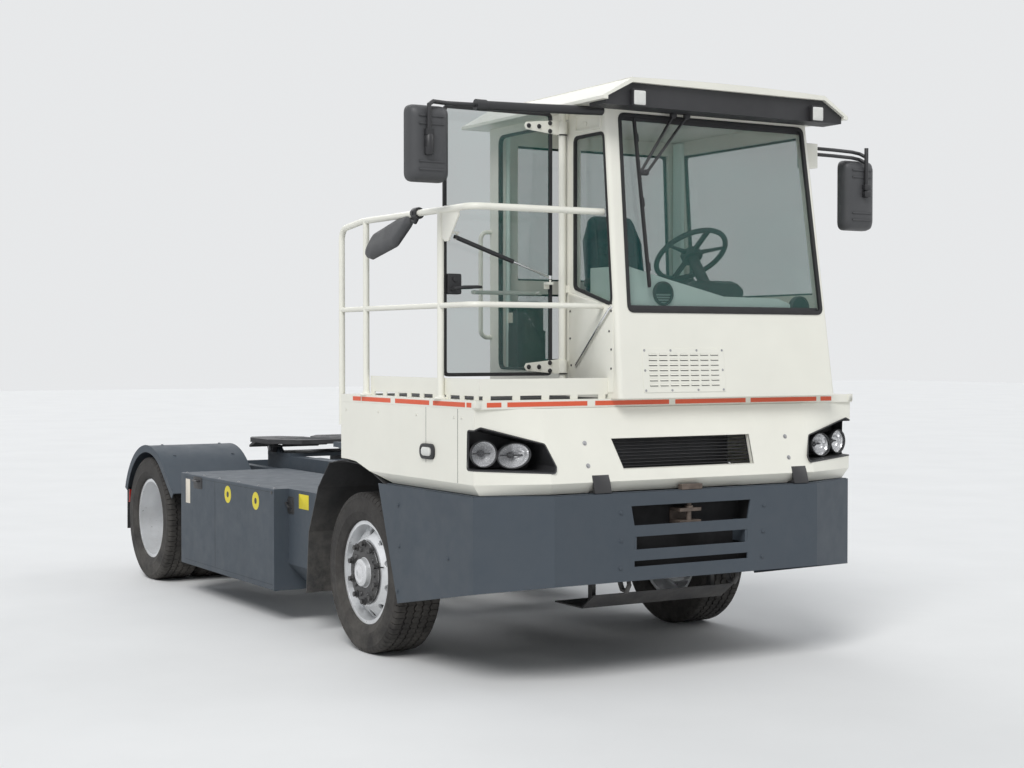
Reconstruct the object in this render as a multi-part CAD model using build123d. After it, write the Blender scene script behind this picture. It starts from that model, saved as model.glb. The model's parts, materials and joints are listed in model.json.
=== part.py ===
from build123d import *
import math
import os

# Terminal tractor. Units are millimetres.
# +X points forward, +Y to the vehicle's left, +Z up.
# The origin is on the ground, under the middle of the overall length and width.

# Overall layout
WHEELBASE = 3680
FRONT_OVERHANG = 1537
REAR_OVERHANG = 523
BODY_WIDTH = 2500
HALF_WIDTH = BODY_WIDTH / 2
FRONT_AXLE_X = (WHEELBASE + REAR_OVERHANG - FRONT_OVERHANG) / 2
REAR_AXLE_X = FRONT_AXLE_X - WHEELBASE
FRONT_X = FRONT_AXLE_X + FRONT_OVERHANG
REAR_X = REAR_AXLE_X - REAR_OVERHANG
SHEET = 6
FIT = 0.05
SOFT_GAP = 0.3

# Tyres and rims
TYRE_R = 463
TYRE_WIDTH = 292
TREAD_WIDTH = 240
TYRE_WIDEST_R = 388
TYRE_SHOULDER_R = 448
RIM_SEAT_R = 286
RIM_FLANGE_R = 299
RIM_WIDTH = 228
RIM_WALL = 9
DISC_THICK = 12
HUB_BOLT_R = 167.5
HAND_HOLE_R = 24
HAND_HOLE_PCR = 236
HAND_HOLES = 10
AXLE_Z = TYRE_R
FRONT_TYRE_Y = 1072
TWIN_SPACING = 330
REAR_OUTER_TYRE_Y = 1098
REAR_INNER_TYRE_Y = REAR_OUTER_TYRE_Y - TWIN_SPACING
REAR_DISC_Y = (REAR_OUTER_TYRE_Y + REAR_INNER_TYRE_Y) / 2
FRONT_DISC_OFFSET = 112
REAR_SPINDLE_R = 45
FRONT_SPINDLE_R = 40

# Steering
KINGPIN_Y = 905
KINGPIN_R = 22
BEAM_BOSS_R = 52
BEAM_BOSS_HEIGHT = 120
EAR_THICK = 42
EAR_GAP = 1
STEER_ARM = 190
STEER_ARM_THICK = 28
TIE_BALL_R = 13
TIE_ROD_R = 19
TIE_EYE_R = 30
TIE_EYE_HEIGHT = 36
TIE_CLEAR = 0.5

# Frame rails
RAIL_OUTER_Y = 430
RAIL_FLANGE = 75
RAIL_THICK = 10
RAIL_BOTTOM = 580
RAIL_TOP = 840
RAIL_FRONT_X = FRONT_X - 130
RAIL_REAR_X = REAR_X + 12

CROSS_PLATE = 14
CAB_MOUNTS = (FRONT_AXLE_X - 192, FRONT_AXLE_X + 1100)
TOW_PIN_R = 14

# Front axle beam and springs
BEAM_DROP = 45
BEAM_HEIGHT = 90
BEAM_DEPTH = 96
SPRING_Y = 390
SPRING_WIDTH = 76
SPRING_HALF = 560
SPRING_LEAF = 14
SPRING_LEAVES = 3
SPRING_RISE = 37

# Rear axle
AXLE_TUBE_R = 75
BANJO_R = 205
BANJO_WIDTH = 300
NOSE_LENGTH = 352
DRUM_R = 205

# Front bumper
BUMPER_TOP = 1000
BUMPER_BOTTOM = 537
BUMPER_SLOPE = 0.179
BUMPER_PLATE = 10
BUMPER_FLAT_Y = HALF_WIDTH - 381
BUMPER_CHAMFER_X = FRONT_AXLE_X + 1365
BUMPER_REAR_LOW_X = FRONT_AXLE_X + 520
BUMPER_REAR_TOP_X = FRONT_AXLE_X + 285
SLOT_HALF_WIDTH = 375

# White front body
BODY_REAR_X = FRONT_AXLE_X - 200
BODY_CORNER_X = FRONT_AXLE_X + 1380
BODY_FRONT_TOP_X = FRONT_AXLE_X + 1402
BODY_FRONT_LOW_X = FRONT_AXLE_X + 1512
BODY_HEM = 1062
BODY_BOTTOM = 1006
BODY_HEM_INSET = 42
DECK_BOTTOM = 1445
DECK_TOP = 1490
ARCH_TOP = 1115

# Cab
CAB_RIGHT_Y = -430
CAB_LEFT_Y = 1050
CAB_LEFT_TOP_Y = 947
CAB_REAR_X = FRONT_AXLE_X + 100
CAB_FRONT_LOW_X = FRONT_AXLE_X + 1482
CAB_FRONT_TOP_X = FRONT_AXLE_X + 1342
CAB_TOP = 3045
CAB_WALL = 40
GLASS = 6
ROOF_RISE = 135
ROOF_CROWN = CAB_TOP + ROOF_RISE
ROOF_CAMBER = 12
ROOF_EAVE_RIGHT_Y = -570
ROOF_EAVE_LEFT_Y = 1090
ROOF_CROWN_RIGHT_Y = -385
ROOF_CROWN_LEFT_Y = 920
ROOF_FRONT_X = FRONT_AXLE_X + 1531
ROOF_REAR_X = FRONT_AXLE_X + 25
ROOF_SKIN = 25

# Door
DOOR_AXIS_X = FRONT_AXLE_X + 970
DOOR_AXIS_Y = -465
DOOR_POST_R = 20
DOOR_INNER = 72
DOOR_REACH = 738
DOOR_LOW = 1610
DOOR_TOP = CAB_TOP - 11
DOOR_GLASS = 8
HINGE_PLATE_REACH = 235
HINGE_ZS = (DOOR_LOW + 45, DOOR_TOP - 76)
STRUT_STUD_X = 45
STRUT_STUD_Y = -105
STRUT_EYE_Z = 2140
STRUT_BASE_X = 1060
STRUT_BASE_Y = -(HALF_WIDTH - 72)
STRUT_BASE_Z = 2335
STRUT_PIN_R = 6
STRUT_ROD_R = 6
STRUT_BARREL_R = 12
STRUT_BARREL_LENGTH = 380
STRUT_OVERLAP = 130
STRUT_EYE_R = 14
STRUT_EYE_HALF = 9
STRUT_OPEN_GAP = 2.5

# Handrail
RAIL_TUBE_R = 18
RAIL_Y = -(HALF_WIDTH - 18)
RAIL_HIGH = 2480
RAIL_MID = 1980
RAIL_CORNER_X = FRONT_AXLE_X + 1322
RAIL_BACK_X = FRONT_AXLE_X - 225
RAIL_BEND = 70

# Mirrors
MIRROR_REACH = 190
MIRROR_ARM_R = 24
MIRROR_TUBE_R = 11
MIRROR_RIGHT_HEIGHT = 390
MIRROR_LEFT_HEIGHT = 410

# Side boxes
BOX_FRONT_X = FRONT_AXLE_X - 1210
BOX_REAR_X = REAR_AXLE_X + 760
BOX_BOTTOM = 210
BOX_TOP = 860
SMALL_BOX_FRONT_X = FRONT_AXLE_X - 742
SMALL_BOX_INSET = 100

# Mudguards and fenders
ARCH_SHEET = 5
ARCH_INNER_Y = 560
FENDER_R = 546
FENDER_INNER_Y = 570
FENDER_LIP = 44
FENDER_FRONT_ANGLE = 50
FENDER_TUBE_R = 20

# Lift boom and fifth wheel
BOOM_PIVOT_X = FRONT_AXLE_X - 1750
BOOM_PIVOT_Z = 880
BOOM_PIN_R = 35
BOOM_ARM_Y = 265
BOOM_ARM_WIDTH = 100
BOOM_ARM_BOTTOM = 790
BOOM_ARM_TOP = 930
FIFTH_X = REAR_AXLE_X + 280
FIFTH_TOP = 1060
FIFTH_PLATE = 34
FIFTH_HALF_WIDTH = 450
FIFTH_FRONT = 380
FIFTH_REAR = 300
FIFTH_RAMP = 480
FIFTH_PIVOT_Z = 985
FIFTH_PIN_R = 25
THROAT_R = 27
BASE_FRONT = 290
BASE_REAR = 150
BASE_HALF_WIDTH = 316
BASE_PLATE = 25

# Lift cylinders
CYL_BASE_X = FRONT_AXLE_X - 2033
CYL_BASE_Z = 520
CYL_TOP_X = BOOM_PIVOT_X - 700
CYL_TOP_Z = 742
CYL_R = 50
CYL_ROD_R = 24
CYL_EYE_R = 36
CYL_EYE_WIDTH = 50
CYL_PIN_R = 20
CYL_ROD_EYE_CLEAR = 6
CYL_LUG = 16
CYL_NECK = 62
CYL_BARREL_LENGTH = 310

# Engine, radiator
ENGINE_HALF_WIDTH = 335
ENGINE_FRONT_X = FRONT_AXLE_X + 1020
ENGINE_REAR_X = FRONT_AXLE_X - 120
ENGINE_BOTTOM = 600
ENGINE_TOP = 1370
GEARBOX_REAR_X = FRONT_AXLE_X - 760
GEARBOX_HALF_WIDTH = 190
GEARBOX_BOTTOM = 490
GEARBOX_TOP = 860
RADIATOR_X = FRONT_AXLE_X + 1210

NODES = {}


def fx(distance):
    """X at a distance ahead of the front axle."""
    return FRONT_AXLE_X + distance


def box(x0, x1, y0, y1, z0, z1):
    """Box between two corners."""
    size = (abs(x1 - x0), abs(y1 - y0), abs(z1 - z0))
    return Pos((x0 + x1) / 2, (y0 + y1) / 2, (z0 + z1) / 2) * Box(*size)


def rod(p, q, r):
    """Round bar of radius r from point p to point q."""
    p = Vector(*p)
    q = Vector(*q)
    along = q - p
    plane = Plane(origin=p, z_dir=along)
    return extrude(plane * Circle(r), along.length)


def tube(p, q, r, wall):
    """Hollow round bar from p to q."""
    return rod(p, q, r) - rod(p, q, r - wall)


def cyl_y(x, z, y0, y1, r):
    """Cylinder along Y."""
    return rod((x, y0, z), (x, y1, z), r)


def cyl_z(x, y, z0, z1, r):
    """Cylinder along Z."""
    return rod((x, y, z0), (x, y, z1), r)


def slab_xz(points, y0, y1):
    """Prism with its outline in the XZ plane, from y0 to y1."""
    face = Plane.XZ * make_face(Polyline(*points, close=True))
    low = min(y0, y1)
    return Pos(0, low, 0) * extrude(face, abs(y1 - y0), dir=(0, 1, 0))


def slab_yz(points, x0, x1):
    """Prism with its outline in the YZ plane, from x0 to x1."""
    face = Plane.YZ * make_face(Polyline(*points, close=True))
    return Pos(min(x0, x1), 0, 0) * extrude(face, abs(x1 - x0), dir=(1, 0, 0))


def slab_xy(points, z0, z1):
    """Prism with its outline in the XY plane, from z0 to z1."""
    face = make_face(Polyline(*points, close=True))
    return Pos(0, 0, min(z0, z1)) * extrude(face, abs(z1 - z0), dir=(0, 0, 1))


def put(name, *shapes):
    """Collect the solids of one node."""
    solids = []
    for shape in shapes:
        solids += list(shape.solids())
    NODES[name] = solids


def spin_y(points, x, y, z, side):
    """Revolve an outline of (offset outward, radius) pairs round the Y axis at (x, y, z)."""
    outline = [(side * w, r) for w, r in points]
    face = make_face(Polyline(*outline, close=True))
    plane = Plane(origin=(x, y, z), x_dir=(0, 1, 0), z_dir=(-1, 0, 0))
    return revolve(plane * face, Axis((x, y, z), (0, 1, 0)), 360)


def tyre(x, y):
    """Road tyre: straight tread, round shoulders and bulged sidewalls."""
    half_tread = TREAD_WIDTH / 2
    half = TYRE_WIDTH / 2
    bead = RIM_WIDTH / 2 - 12
    seat = RIM_SEAT_R + 0.3
    mid_r = (TYRE_WIDEST_R + TYRE_SHOULDER_R) / 2 + 6
    low_r = (RIM_FLANGE_R + TYRE_WIDEST_R) / 2 - 4
    outline = [Line((-half_tread, TYRE_R), (half_tread, TYRE_R))]
    outline.append(Line((-bead, seat), (bead, seat)))
    for s in (-1, 1):
        shoulder = (s * (half_tread + 17), TYRE_SHOULDER_R)
        outline.append(ThreePointArc((s * half_tread, TYRE_R), (s * (half_tread + 12), TYRE_R - 5), shoulder))
        outline.append(Line(shoulder, (s * (half - 2), mid_r)))
        low = (s * (bead + 26), RIM_FLANGE_R + 6)
        outline.append(ThreePointArc((s * (half - 2), mid_r), (s * half, low_r + 18), low))
        outline.append(Line(low, (s * (bead + 1), RIM_FLANGE_R + 1)))
        outline.append(Line((s * (bead + 1), RIM_FLANGE_R + 1), (s * bead, seat)))
    plane = Plane(origin=(x, y, AXLE_Z), x_dir=(0, 1, 0), z_dir=(-1, 0, 0))
    return revolve(plane * make_face(outline), Axis((x, y, AXLE_Z), (0, 1, 0)), 360)


def rim_barrel(x, y):
    """Open rim: two flanges, bead seats and a well."""
    w = RIM_WIDTH / 2
    outer = [(-w, RIM_FLANGE_R), (-w + 10, RIM_FLANGE_R), (-w + 12, RIM_SEAT_R), (w - 12, RIM_SEAT_R)]
    outer += [(w - 10, RIM_FLANGE_R), (w, RIM_FLANGE_R)]
    inner = [(w, RIM_SEAT_R - RIM_WALL), (-w, RIM_SEAT_R - RIM_WALL)]
    return spin_y(outer + inner, x, y, AXLE_Z, 1)


def hand_holes(x, y0, y1, radius, count, hole_r):
    """Ring of round cutters along Y."""
    holes = []
    for i in range(count):
        a = 2 * math.pi * (i + 0.5) / count
        holes.append(cyl_y(x + radius * math.cos(a), AXLE_Z + radius * math.sin(a), y0, y1, hole_r))
    return holes


def front_rim(side):
    """Front rim with its outward disc, hub and bolt flange. side is +1 left, -1 right."""
    x = FRONT_AXLE_X
    y = side * FRONT_TYRE_Y
    seat = RIM_SEAT_R - RIM_WALL
    d = FRONT_DISC_OFFSET
    t = DISC_THICK
    disc = [(d - 92, seat + 2), (d - 74, seat + 2), (d - 32, 232), (d, 196), (d, 90), (d - t, 90)]
    disc += [(d - t, 190), (d - 44, 224), (d - 92, seat - 16)]
    body = rim_barrel(x, y) + spin_y(disc, x, y, AXLE_Z, side)
    for hole in hand_holes(x, y + side * (d - 100), y + side * (d + 10), HAND_HOLE_PCR, HAND_HOLES, HAND_HOLE_R):
        body -= hole
    hub = [(-60, FRONT_SPINDLE_R + FIT), (-60, 120), (d - 40, 120), (d - t, 150), (d - t, 100), (d, 100)]
    hub += [(d, 182), (d + 14, 182), (d + 14, 84), (d + 40, 78), (d + 44, 70), (d + 44, 0), (d + 20, 0)]
    hub += [(d + 20, FRONT_SPINDLE_R + FIT)]
    body += spin_y(hub, x, y, AXLE_Z, side)
    drum = [(-62, 120), (-62, 205), (d - 96, 205), (d - 96, 190), (-48, 190), (-48, 120)]
    return body + spin_y(drum, x, y, AXLE_Z, side)


def rear_rims(side):
    """Twin rims bolted back to back on one hub with its drum."""
    x = REAR_AXLE_X
    seat = RIM_SEAT_R - RIM_WALL
    outer_y = side * REAR_OUTER_TYRE_Y
    inner_y = side * REAR_INNER_TYRE_Y
    disc_y = side * REAR_DISC_Y
    body = rim_barrel(x, outer_y) + rim_barrel(x, inner_y)
    t = DISC_THICK
    dish = [(0, 110), (0, 205), (58, 246), (78, seat + 2), (96, seat + 2), (72, 236), (t, 194), (t, 110)]
    for s in (1, -1):
        body += spin_y(dish, x, disc_y, AXLE_Z, side * s)
    y0 = disc_y - side * 90
    y1 = disc_y + side * 90
    for hole in hand_holes(x, y0, y1, HAND_HOLE_PCR - 8, HAND_HOLES, HAND_HOLE_R):
        body -= hole
    hub = [(-150, REAR_SPINDLE_R + FIT), (-150, 130), (-t, 130), (-t, 182), (t + 16, 182), (t + 16, 118)]
    hub += [(96, 106), (130, 92), (150, 84), (150, 0), (120, 0), (120, REAR_SPINDLE_R + FIT)]
    body += spin_y(hub, x, disc_y, AXLE_Z, side)
    drum = [(-152, 130), (-152, DRUM_R), (-60, DRUM_R), (-60, DRUM_R - 14), (-140, DRUM_R - 14), (-140, 130)]
    return body + spin_y(drum, x, disc_y, AXLE_Z, side)


def wheels():
    """Tyres and rims, named by axle and side."""
    for label, side in (("left", 1), ("right", -1)):
        put(f"front_tyre_{label}", tyre(FRONT_AXLE_X, side * FRONT_TYRE_Y))
        put(f"front_rim_{label}", front_rim(side))
        twins = [tyre(REAR_AXLE_X, side * y) for y in (REAR_OUTER_TYRE_Y, REAR_INNER_TYRE_Y)]
        put(f"rear_tyres_{label}", *twins)
        put(f"rear_rims_{label}", rear_rims(side))


def steering():
    """Knuckles with spindle and steering arm, and the tie rod between the arms."""
    z0 = AXLE_Z - BEAM_BOSS_HEIGHT / 2 - EAR_GAP
    z1 = AXLE_Z + BEAM_BOSS_HEIGHT / 2 + EAR_GAP
    arm_low = z0 - EAR_THICK
    ball_x = FRONT_AXLE_X - STEER_ARM
    tie_z = arm_low - TIE_EYE_HEIGHT / 2 - 2
    for label, side in (("left", 1), ("right", -1)):
        ky = side * KINGPIN_Y
        web_y0 = side * (KINGPIN_Y + BEAM_BOSS_R + 6)
        web_y1 = side * (KINGPIN_Y + BEAM_BOSS_R + 40)
        body = box(fx(-48), fx(48), web_y0, web_y1, z0 - EAR_THICK, z1 + EAR_THICK)
        for low, high in ((z0 - EAR_THICK, z0), (z1, z1 + EAR_THICK)):
            ear = cyl_z(FRONT_AXLE_X, ky, low, high, BEAM_BOSS_R - 6)
            ear += box(fx(-40), fx(40), ky, web_y0, low, high)
            body += ear
        body -= cyl_z(FRONT_AXLE_X, ky, z0 - 100, z1 + 100, KINGPIN_R + FIT)
        tip = side * (FRONT_TYRE_Y + FRONT_DISC_OFFSET + 16)
        body += cyl_y(FRONT_AXLE_X, AXLE_Z, web_y1 - side, tip, FRONT_SPINDLE_R)
        arm = box(ball_x, fx(-30), ky - 22, ky + 22, arm_low, arm_low + STEER_ARM_THICK)
        arm += cyl_z(ball_x, ky, arm_low, arm_low + STEER_ARM_THICK, TIE_EYE_R - 2)
        ball = cyl_z(ball_x, ky, tie_z - TIE_EYE_HEIGHT / 2 - 4, arm_low + 2, TIE_BALL_R)
        put(f"knuckle_{label}", body + arm + ball)
    rod_body = tube((ball_x, -KINGPIN_Y + 28, tie_z), (ball_x, KINGPIN_Y - 28, tie_z), TIE_ROD_R, 6)
    for side in (1, -1):
        eye = cyl_z(ball_x, side * KINGPIN_Y, tie_z - TIE_EYE_HEIGHT / 2, tie_z + TIE_EYE_HEIGHT / 2, TIE_EYE_R)
        rod_body += eye
        rod_body -= cyl_z(ball_x, side * KINGPIN_Y, tie_z - 60, tie_z + 60, TIE_BALL_R + TIE_CLEAR)
    put("tie_rod", rod_body)


def front_axle():
    """Dropped I beam with kingpin bosses, and the leaf springs on it."""
    low = AXLE_Z - BEAM_DROP - BEAM_HEIGHT / 2
    top = low + BEAM_HEIGHT
    end_low = AXLE_Z - BEAM_BOSS_HEIGHT / 2 + 8
    end_top = AXLE_Z + BEAM_BOSS_HEIGHT / 2 - 8
    inner = SPRING_Y + 90
    outline = [(-KINGPIN_Y, end_low), (-inner - 130, end_low), (-inner, low), (inner, low), (inner + 130, end_low)]
    outline += [(KINGPIN_Y, end_low), (KINGPIN_Y, end_top), (inner + 110, end_top), (inner - 20, top)]
    outline += [(-inner + 20, top), (-inner - 110, end_top), (-KINGPIN_Y, end_top)]
    beam = slab_yz(outline, fx(-BEAM_DEPTH / 2), fx(BEAM_DEPTH / 2))
    for side in (1, -1):
        web = box(fx(side * 14), fx(side * 60), -inner + 60, inner - 60, low + 18, top - 18)
        beam -= web
        ky = side * KINGPIN_Y
        half = BEAM_BOSS_HEIGHT / 2
        beam += cyl_z(FRONT_AXLE_X, ky, AXLE_Z - half, AXLE_Z + half, BEAM_BOSS_R)
        beam += cyl_z(FRONT_AXLE_X, ky, AXLE_Z - half - EAR_THICK, AXLE_Z + half + EAR_THICK, KINGPIN_R)
    put("front_axle_beam", beam)
    springs = []
    for side in (1, -1):
        y0 = side * SPRING_Y - SPRING_WIDTH / 2
        y1 = side * SPRING_Y + SPRING_WIDTH / 2
        pack = None
        for i in range(SPRING_LEAVES):
            half = SPRING_HALF - 130 * i
            z = top + 20 + SPRING_LEAF * (SPRING_LEAVES - 1 - i)
            rise = SPRING_RISE * (half / SPRING_HALF) ** 2
            lower = ThreePointArc((fx(-half), z + rise), (fx(0), z), (fx(half), z + rise))
            upper = ThreePointArc((fx(-half), z + rise + SPRING_LEAF), (fx(0), z + SPRING_LEAF),
                                  (fx(half), z + rise + SPRING_LEAF))
            ends = [Line(lower @ 0, upper @ 0), Line(lower @ 1, upper @ 1)]
            leaf = extrude(Plane.XZ * make_face([lower, upper] + ends), y1 - y0, dir=(0, 1, 0))
            leaf = Pos(0, y0, 0) * leaf
            pack = leaf if pack is None else pack + leaf
        pack += box(fx(-60), fx(60), y0, y1, top, top + 24)
        eye_z = top + 20 + SPRING_LEAF * (SPRING_LEAVES - 1) + SPRING_RISE + SPRING_LEAF / 2
        for end in (-1, 1):
            pack += cyl_y(fx(end * SPRING_HALF), eye_z, y0, y1, 22)
            hanger = box(fx(end * SPRING_HALF - 38), fx(end * SPRING_HALF + 38), y0, y1, eye_z, RAIL_BOTTOM)
            pack += hanger
        springs.append(pack)
    put("front_springs", *springs)


def rear_axle():
    """Axle tube with banjo, drive nose, spindles and frame seats."""
    x = REAR_AXLE_X
    tube_end = REAR_DISC_Y - 158
    body = cyl_y(x, AXLE_Z, -tube_end, tube_end, AXLE_TUBE_R)
    half = BANJO_WIDTH / 2
    banjo = [(-half, 0), (-half, 95), (-70, BANJO_R), (70, BANJO_R), (half, 95), (half, 0)]
    body += spin_y(banjo, x, 0, AXLE_Z, 1)
    body += rod((x + 120, 0, AXLE_Z + 20), (x + 330, 0, AXLE_Z + 46), 95)
    body += rod((x + 320, 0, AXLE_Z + 46), (x + NOSE_LENGTH, 0, AXLE_Z + 46), 78)
    for side in (1, -1):
        body += cyl_y(x, AXLE_Z, side * (tube_end - 1), side * (REAR_DISC_Y + 112), REAR_SPINDLE_R)
        body += cyl_y(x, AXLE_Z, side * (tube_end - 60), side * (tube_end - 30), 120)
        y0 = side * (RAIL_OUTER_Y - RAIL_FLANGE)
        seat = box(x - 130, x + 130, y0, side * RAIL_OUTER_Y, AXLE_Z, RAIL_BOTTOM)
        body += seat
    put("rear_axle", body)
    start = (x + NOSE_LENGTH, 0, AXLE_Z + 46)
    end = (GEARBOX_REAR_X, 0, GEARBOX_BOTTOM + 75)
    shaft = rod((start[0] + 30, 0, start[2]), (end[0] - 30, 0, end[2]), 45)
    shaft += rod(start, (start[0] + 60, 0, start[2]), 70)
    shaft += rod((end[0] - 60, 0, end[2]), end, 70)
    put("propeller_shaft", shaft)


def rails_and_members():
    """Two channel rails with cross members, boom pivot stands and cylinder lugs."""
    frame = None
    for side in (1, -1):
        y_out = side * RAIL_OUTER_Y
        y_in = side * (RAIL_OUTER_Y - RAIL_THICK)
        y_lip = side * (RAIL_OUTER_Y - RAIL_FLANGE)
        web = box(RAIL_REAR_X, RAIL_FRONT_X, y_in, y_out, RAIL_BOTTOM, RAIL_TOP)
        web += box(RAIL_REAR_X, RAIL_FRONT_X, y_lip, y_out, RAIL_BOTTOM, RAIL_BOTTOM + RAIL_THICK)
        web += box(RAIL_REAR_X, RAIL_FRONT_X, y_lip, y_out, RAIL_TOP - RAIL_THICK, RAIL_TOP)
        frame = web if frame is None else frame + web
    inside = RAIL_OUTER_Y - RAIL_THICK
    members = [
        # x low, x high, z low, z high
        (RAIL_REAR_X - 12, RAIL_REAR_X, RAIL_BOTTOM - 60, RAIL_TOP),
        (RAIL_REAR_X, RAIL_REAR_X + 70, RAIL_BOTTOM, RAIL_BOTTOM + 120),
        (REAR_AXLE_X + 480, REAR_AXLE_X + 560, 600, 710),
        (CYL_BASE_X + 12, CYL_BASE_X + 100, 604, 710),
        (BOOM_PIVOT_X - 60, BOOM_PIVOT_X + 20, 630, 730),
        (RAIL_FRONT_X, RAIL_FRONT_X + CROSS_PLATE, RAIL_BOTTOM - 20, RAIL_TOP + 60),
    ]
    for x0, x1, z0, z1 in members:
        half = RAIL_OUTER_Y if x1 <= RAIL_REAR_X or x0 >= RAIL_FRONT_X else inside
        frame += box(x0, x1, -half, half, z0, z1)
    for x in CAB_MOUNTS:
        for side in (1, -1):
            frame += box(x, x + 60, side * (RAIL_OUTER_Y - 60), side * RAIL_OUTER_Y, RAIL_TOP - 1, DECK_BOTTOM)
    for side in (1, -1):
        y0 = side * (RAIL_OUTER_Y - RAIL_FLANGE)
        stand = [(BOOM_PIVOT_X - 150, RAIL_TOP), (BOOM_PIVOT_X + 150, RAIL_TOP),
                 (BOOM_PIVOT_X + 60, BOOM_PIVOT_Z + 55), (BOOM_PIVOT_X - 60, BOOM_PIVOT_Z + 55)]
        plate = slab_xz(stand, y0, y0 + side * 40)
        plate -= cyl_y(BOOM_PIVOT_X, BOOM_PIVOT_Z, -600, 600, BOOM_PIN_R + FIT)
        frame += plate
        for edge in (-1, 1):
            y_in = side * BOOM_ARM_Y + edge * (CYL_EYE_WIDTH / 2 + 2)
            y_out = y_in + edge * CYL_LUG
            lug = [(CYL_BASE_X - 40, CYL_BASE_Z - 30), (CYL_BASE_X + 30, CYL_BASE_Z - 42),
                   (CYL_BASE_X + 100, 604), (CYL_BASE_X + 12, 604), (CYL_BASE_X - 45, CYL_BASE_Z + 20)]
            frame += slab_xz(lug, y_in, y_out)
        pin_half = CYL_EYE_WIDTH / 2 + 2 + CYL_LUG
        y_mid = side * BOOM_ARM_Y
        frame += cyl_y(CYL_BASE_X, CYL_BASE_Z, y_mid - pin_half, y_mid + pin_half, CYL_PIN_R)
    put("chassis_frame", frame)


def tow_couplings():
    """Front pin coupling behind the upper bumper slot."""
    x = RAIL_FRONT_X + CROSS_PLATE
    x_end = FRONT_X - BUMPER_PLATE - 4
    pin_x = FRONT_X - BUMPER_PLATE - TOW_PIN_R - 8
    z = 870
    jaw = box(x, x_end, -70, 70, z - 52, z - 34) + box(x, x_end, -70, 70, z + 14, z + 32)
    jaw += box(x, x + 14, -70, 70, z - 52, z + 32)
    jaw -= cyl_z(pin_x, 0, z - 80, z + 80, TOW_PIN_R + FIT)
    pin = cyl_z(pin_x, 0, z - 60, BUMPER_TOP + 10, TOW_PIN_R)
    pin += cyl_z(pin_x, 0, z + 32, z + 44, TOW_PIN_R + 9)
    pin += box(FRONT_X - 36, FRONT_X - 2, -68, 68, BUMPER_TOP + 3, BUMPER_TOP + 31)
    put("front_tow_coupling", jaw, pin)


def bumper_outline(inset):
    """Plan outline of the bumper: straight sides, chamfers and flat front."""
    back = BUMPER_REAR_TOP_X - 300
    side = HALF_WIDTH - inset
    cut = inset * 0.45
    return [(back, -side), (BUMPER_CHAMFER_X - cut, -side), (FRONT_X - inset, -BUMPER_FLAT_Y + cut),
            (FRONT_X - inset, BUMPER_FLAT_Y - cut), (BUMPER_CHAMFER_X - cut, side), (back, side)]


def bumper():
    """Bent plate bumper with sloping lower edge and three slots."""
    low = 250
    shell = slab_xy(bumper_outline(0), low, BUMPER_TOP) - slab_xy(bumper_outline(BUMPER_PLATE), low - 10, BUMPER_TOP + 10)
    length = 2200
    cut = [(FRONT_X + 40, BUMPER_BOTTOM + 40 * BUMPER_SLOPE), (FRONT_X + 40, low - 60),
           (FRONT_X - length, low - 60), (FRONT_X - length, BUMPER_BOTTOM - length * BUMPER_SLOPE)]
    shell -= slab_xz(cut, -HALF_WIDTH - 50, HALF_WIDTH + 50)
    rear_z = BUMPER_BOTTOM - BUMPER_SLOPE * (FRONT_X - BUMPER_REAR_LOW_X)
    slope = (BUMPER_REAR_TOP_X - BUMPER_REAR_LOW_X) / (BUMPER_TOP - rear_z)
    tail = [(BUMPER_REAR_LOW_X - slope * 200, rear_z - 200), (BUMPER_REAR_TOP_X + slope * 100, BUMPER_TOP + 100),
            (BUMPER_REAR_TOP_X - 600, BUMPER_TOP + 100), (BUMPER_REAR_TOP_X - 600, rear_z - 200)]
    shell -= slab_xz(tail, -HALF_WIDTH - 50, HALF_WIDTH + 50)
    slots = [
        # half width top, half width bottom, top z, bottom z
        (SLOT_HALF_WIDTH + 20, SLOT_HALF_WIDTH, 930, 827),
        (SLOT_HALF_WIDTH, SLOT_HALF_WIDTH, 768, 700),
        (SLOT_HALF_WIDTH, SLOT_HALF_WIDTH, 641, 610),
    ]
    for top_half, low_half, top, bottom in slots:
        hole = [(-top_half, top), (top_half, top), (low_half, bottom), (-low_half, bottom)]
        shell -= slab_yz(hole, FRONT_X - 40, FRONT_X + 40)
    for side in (1, -1):
        y = side * (RAIL_OUTER_Y - 40)
        shell += box(RAIL_FRONT_X + CROSS_PLATE, FRONT_X - 2, y - 30, y + 30, 700, 820) - box(
            RAIL_FRONT_X, FRONT_X - 20, y - 20, y + 20, 690, 830)
    put("front_bumper", shell)


def under_guard():
    """Bent guard plate hung below the front cross member."""
    plate = [(fx(905), 352), (fx(1180), 352), (fx(1290), 430), (fx(1290), 438), (fx(1178), 360), (fx(905), 360)]
    guard = slab_xz(plate, -470, 470)
    for side in (1, -1):
        y = side * (RAIL_OUTER_Y - 30)
        guard += box(fx(1150), fx(1190), y - 12, y + 12, 355, RAIL_BOTTOM)
    put("under_guard", guard)


def body_section(z, corner_x, front_x, flat_y, inset):
    """Closed outline of the white body at one height, inset from the outer skin."""
    side = HALF_WIDTH - inset
    points = [(BODY_REAR_X + inset, -side, z), (corner_x, -side, z), (front_x - inset, -flat_y, z),
              (front_x - inset, flat_y, z), (corner_x, side, z), (BODY_REAR_X + inset, side, z)]
    return make_face(Polyline(*points, close=True))


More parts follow.
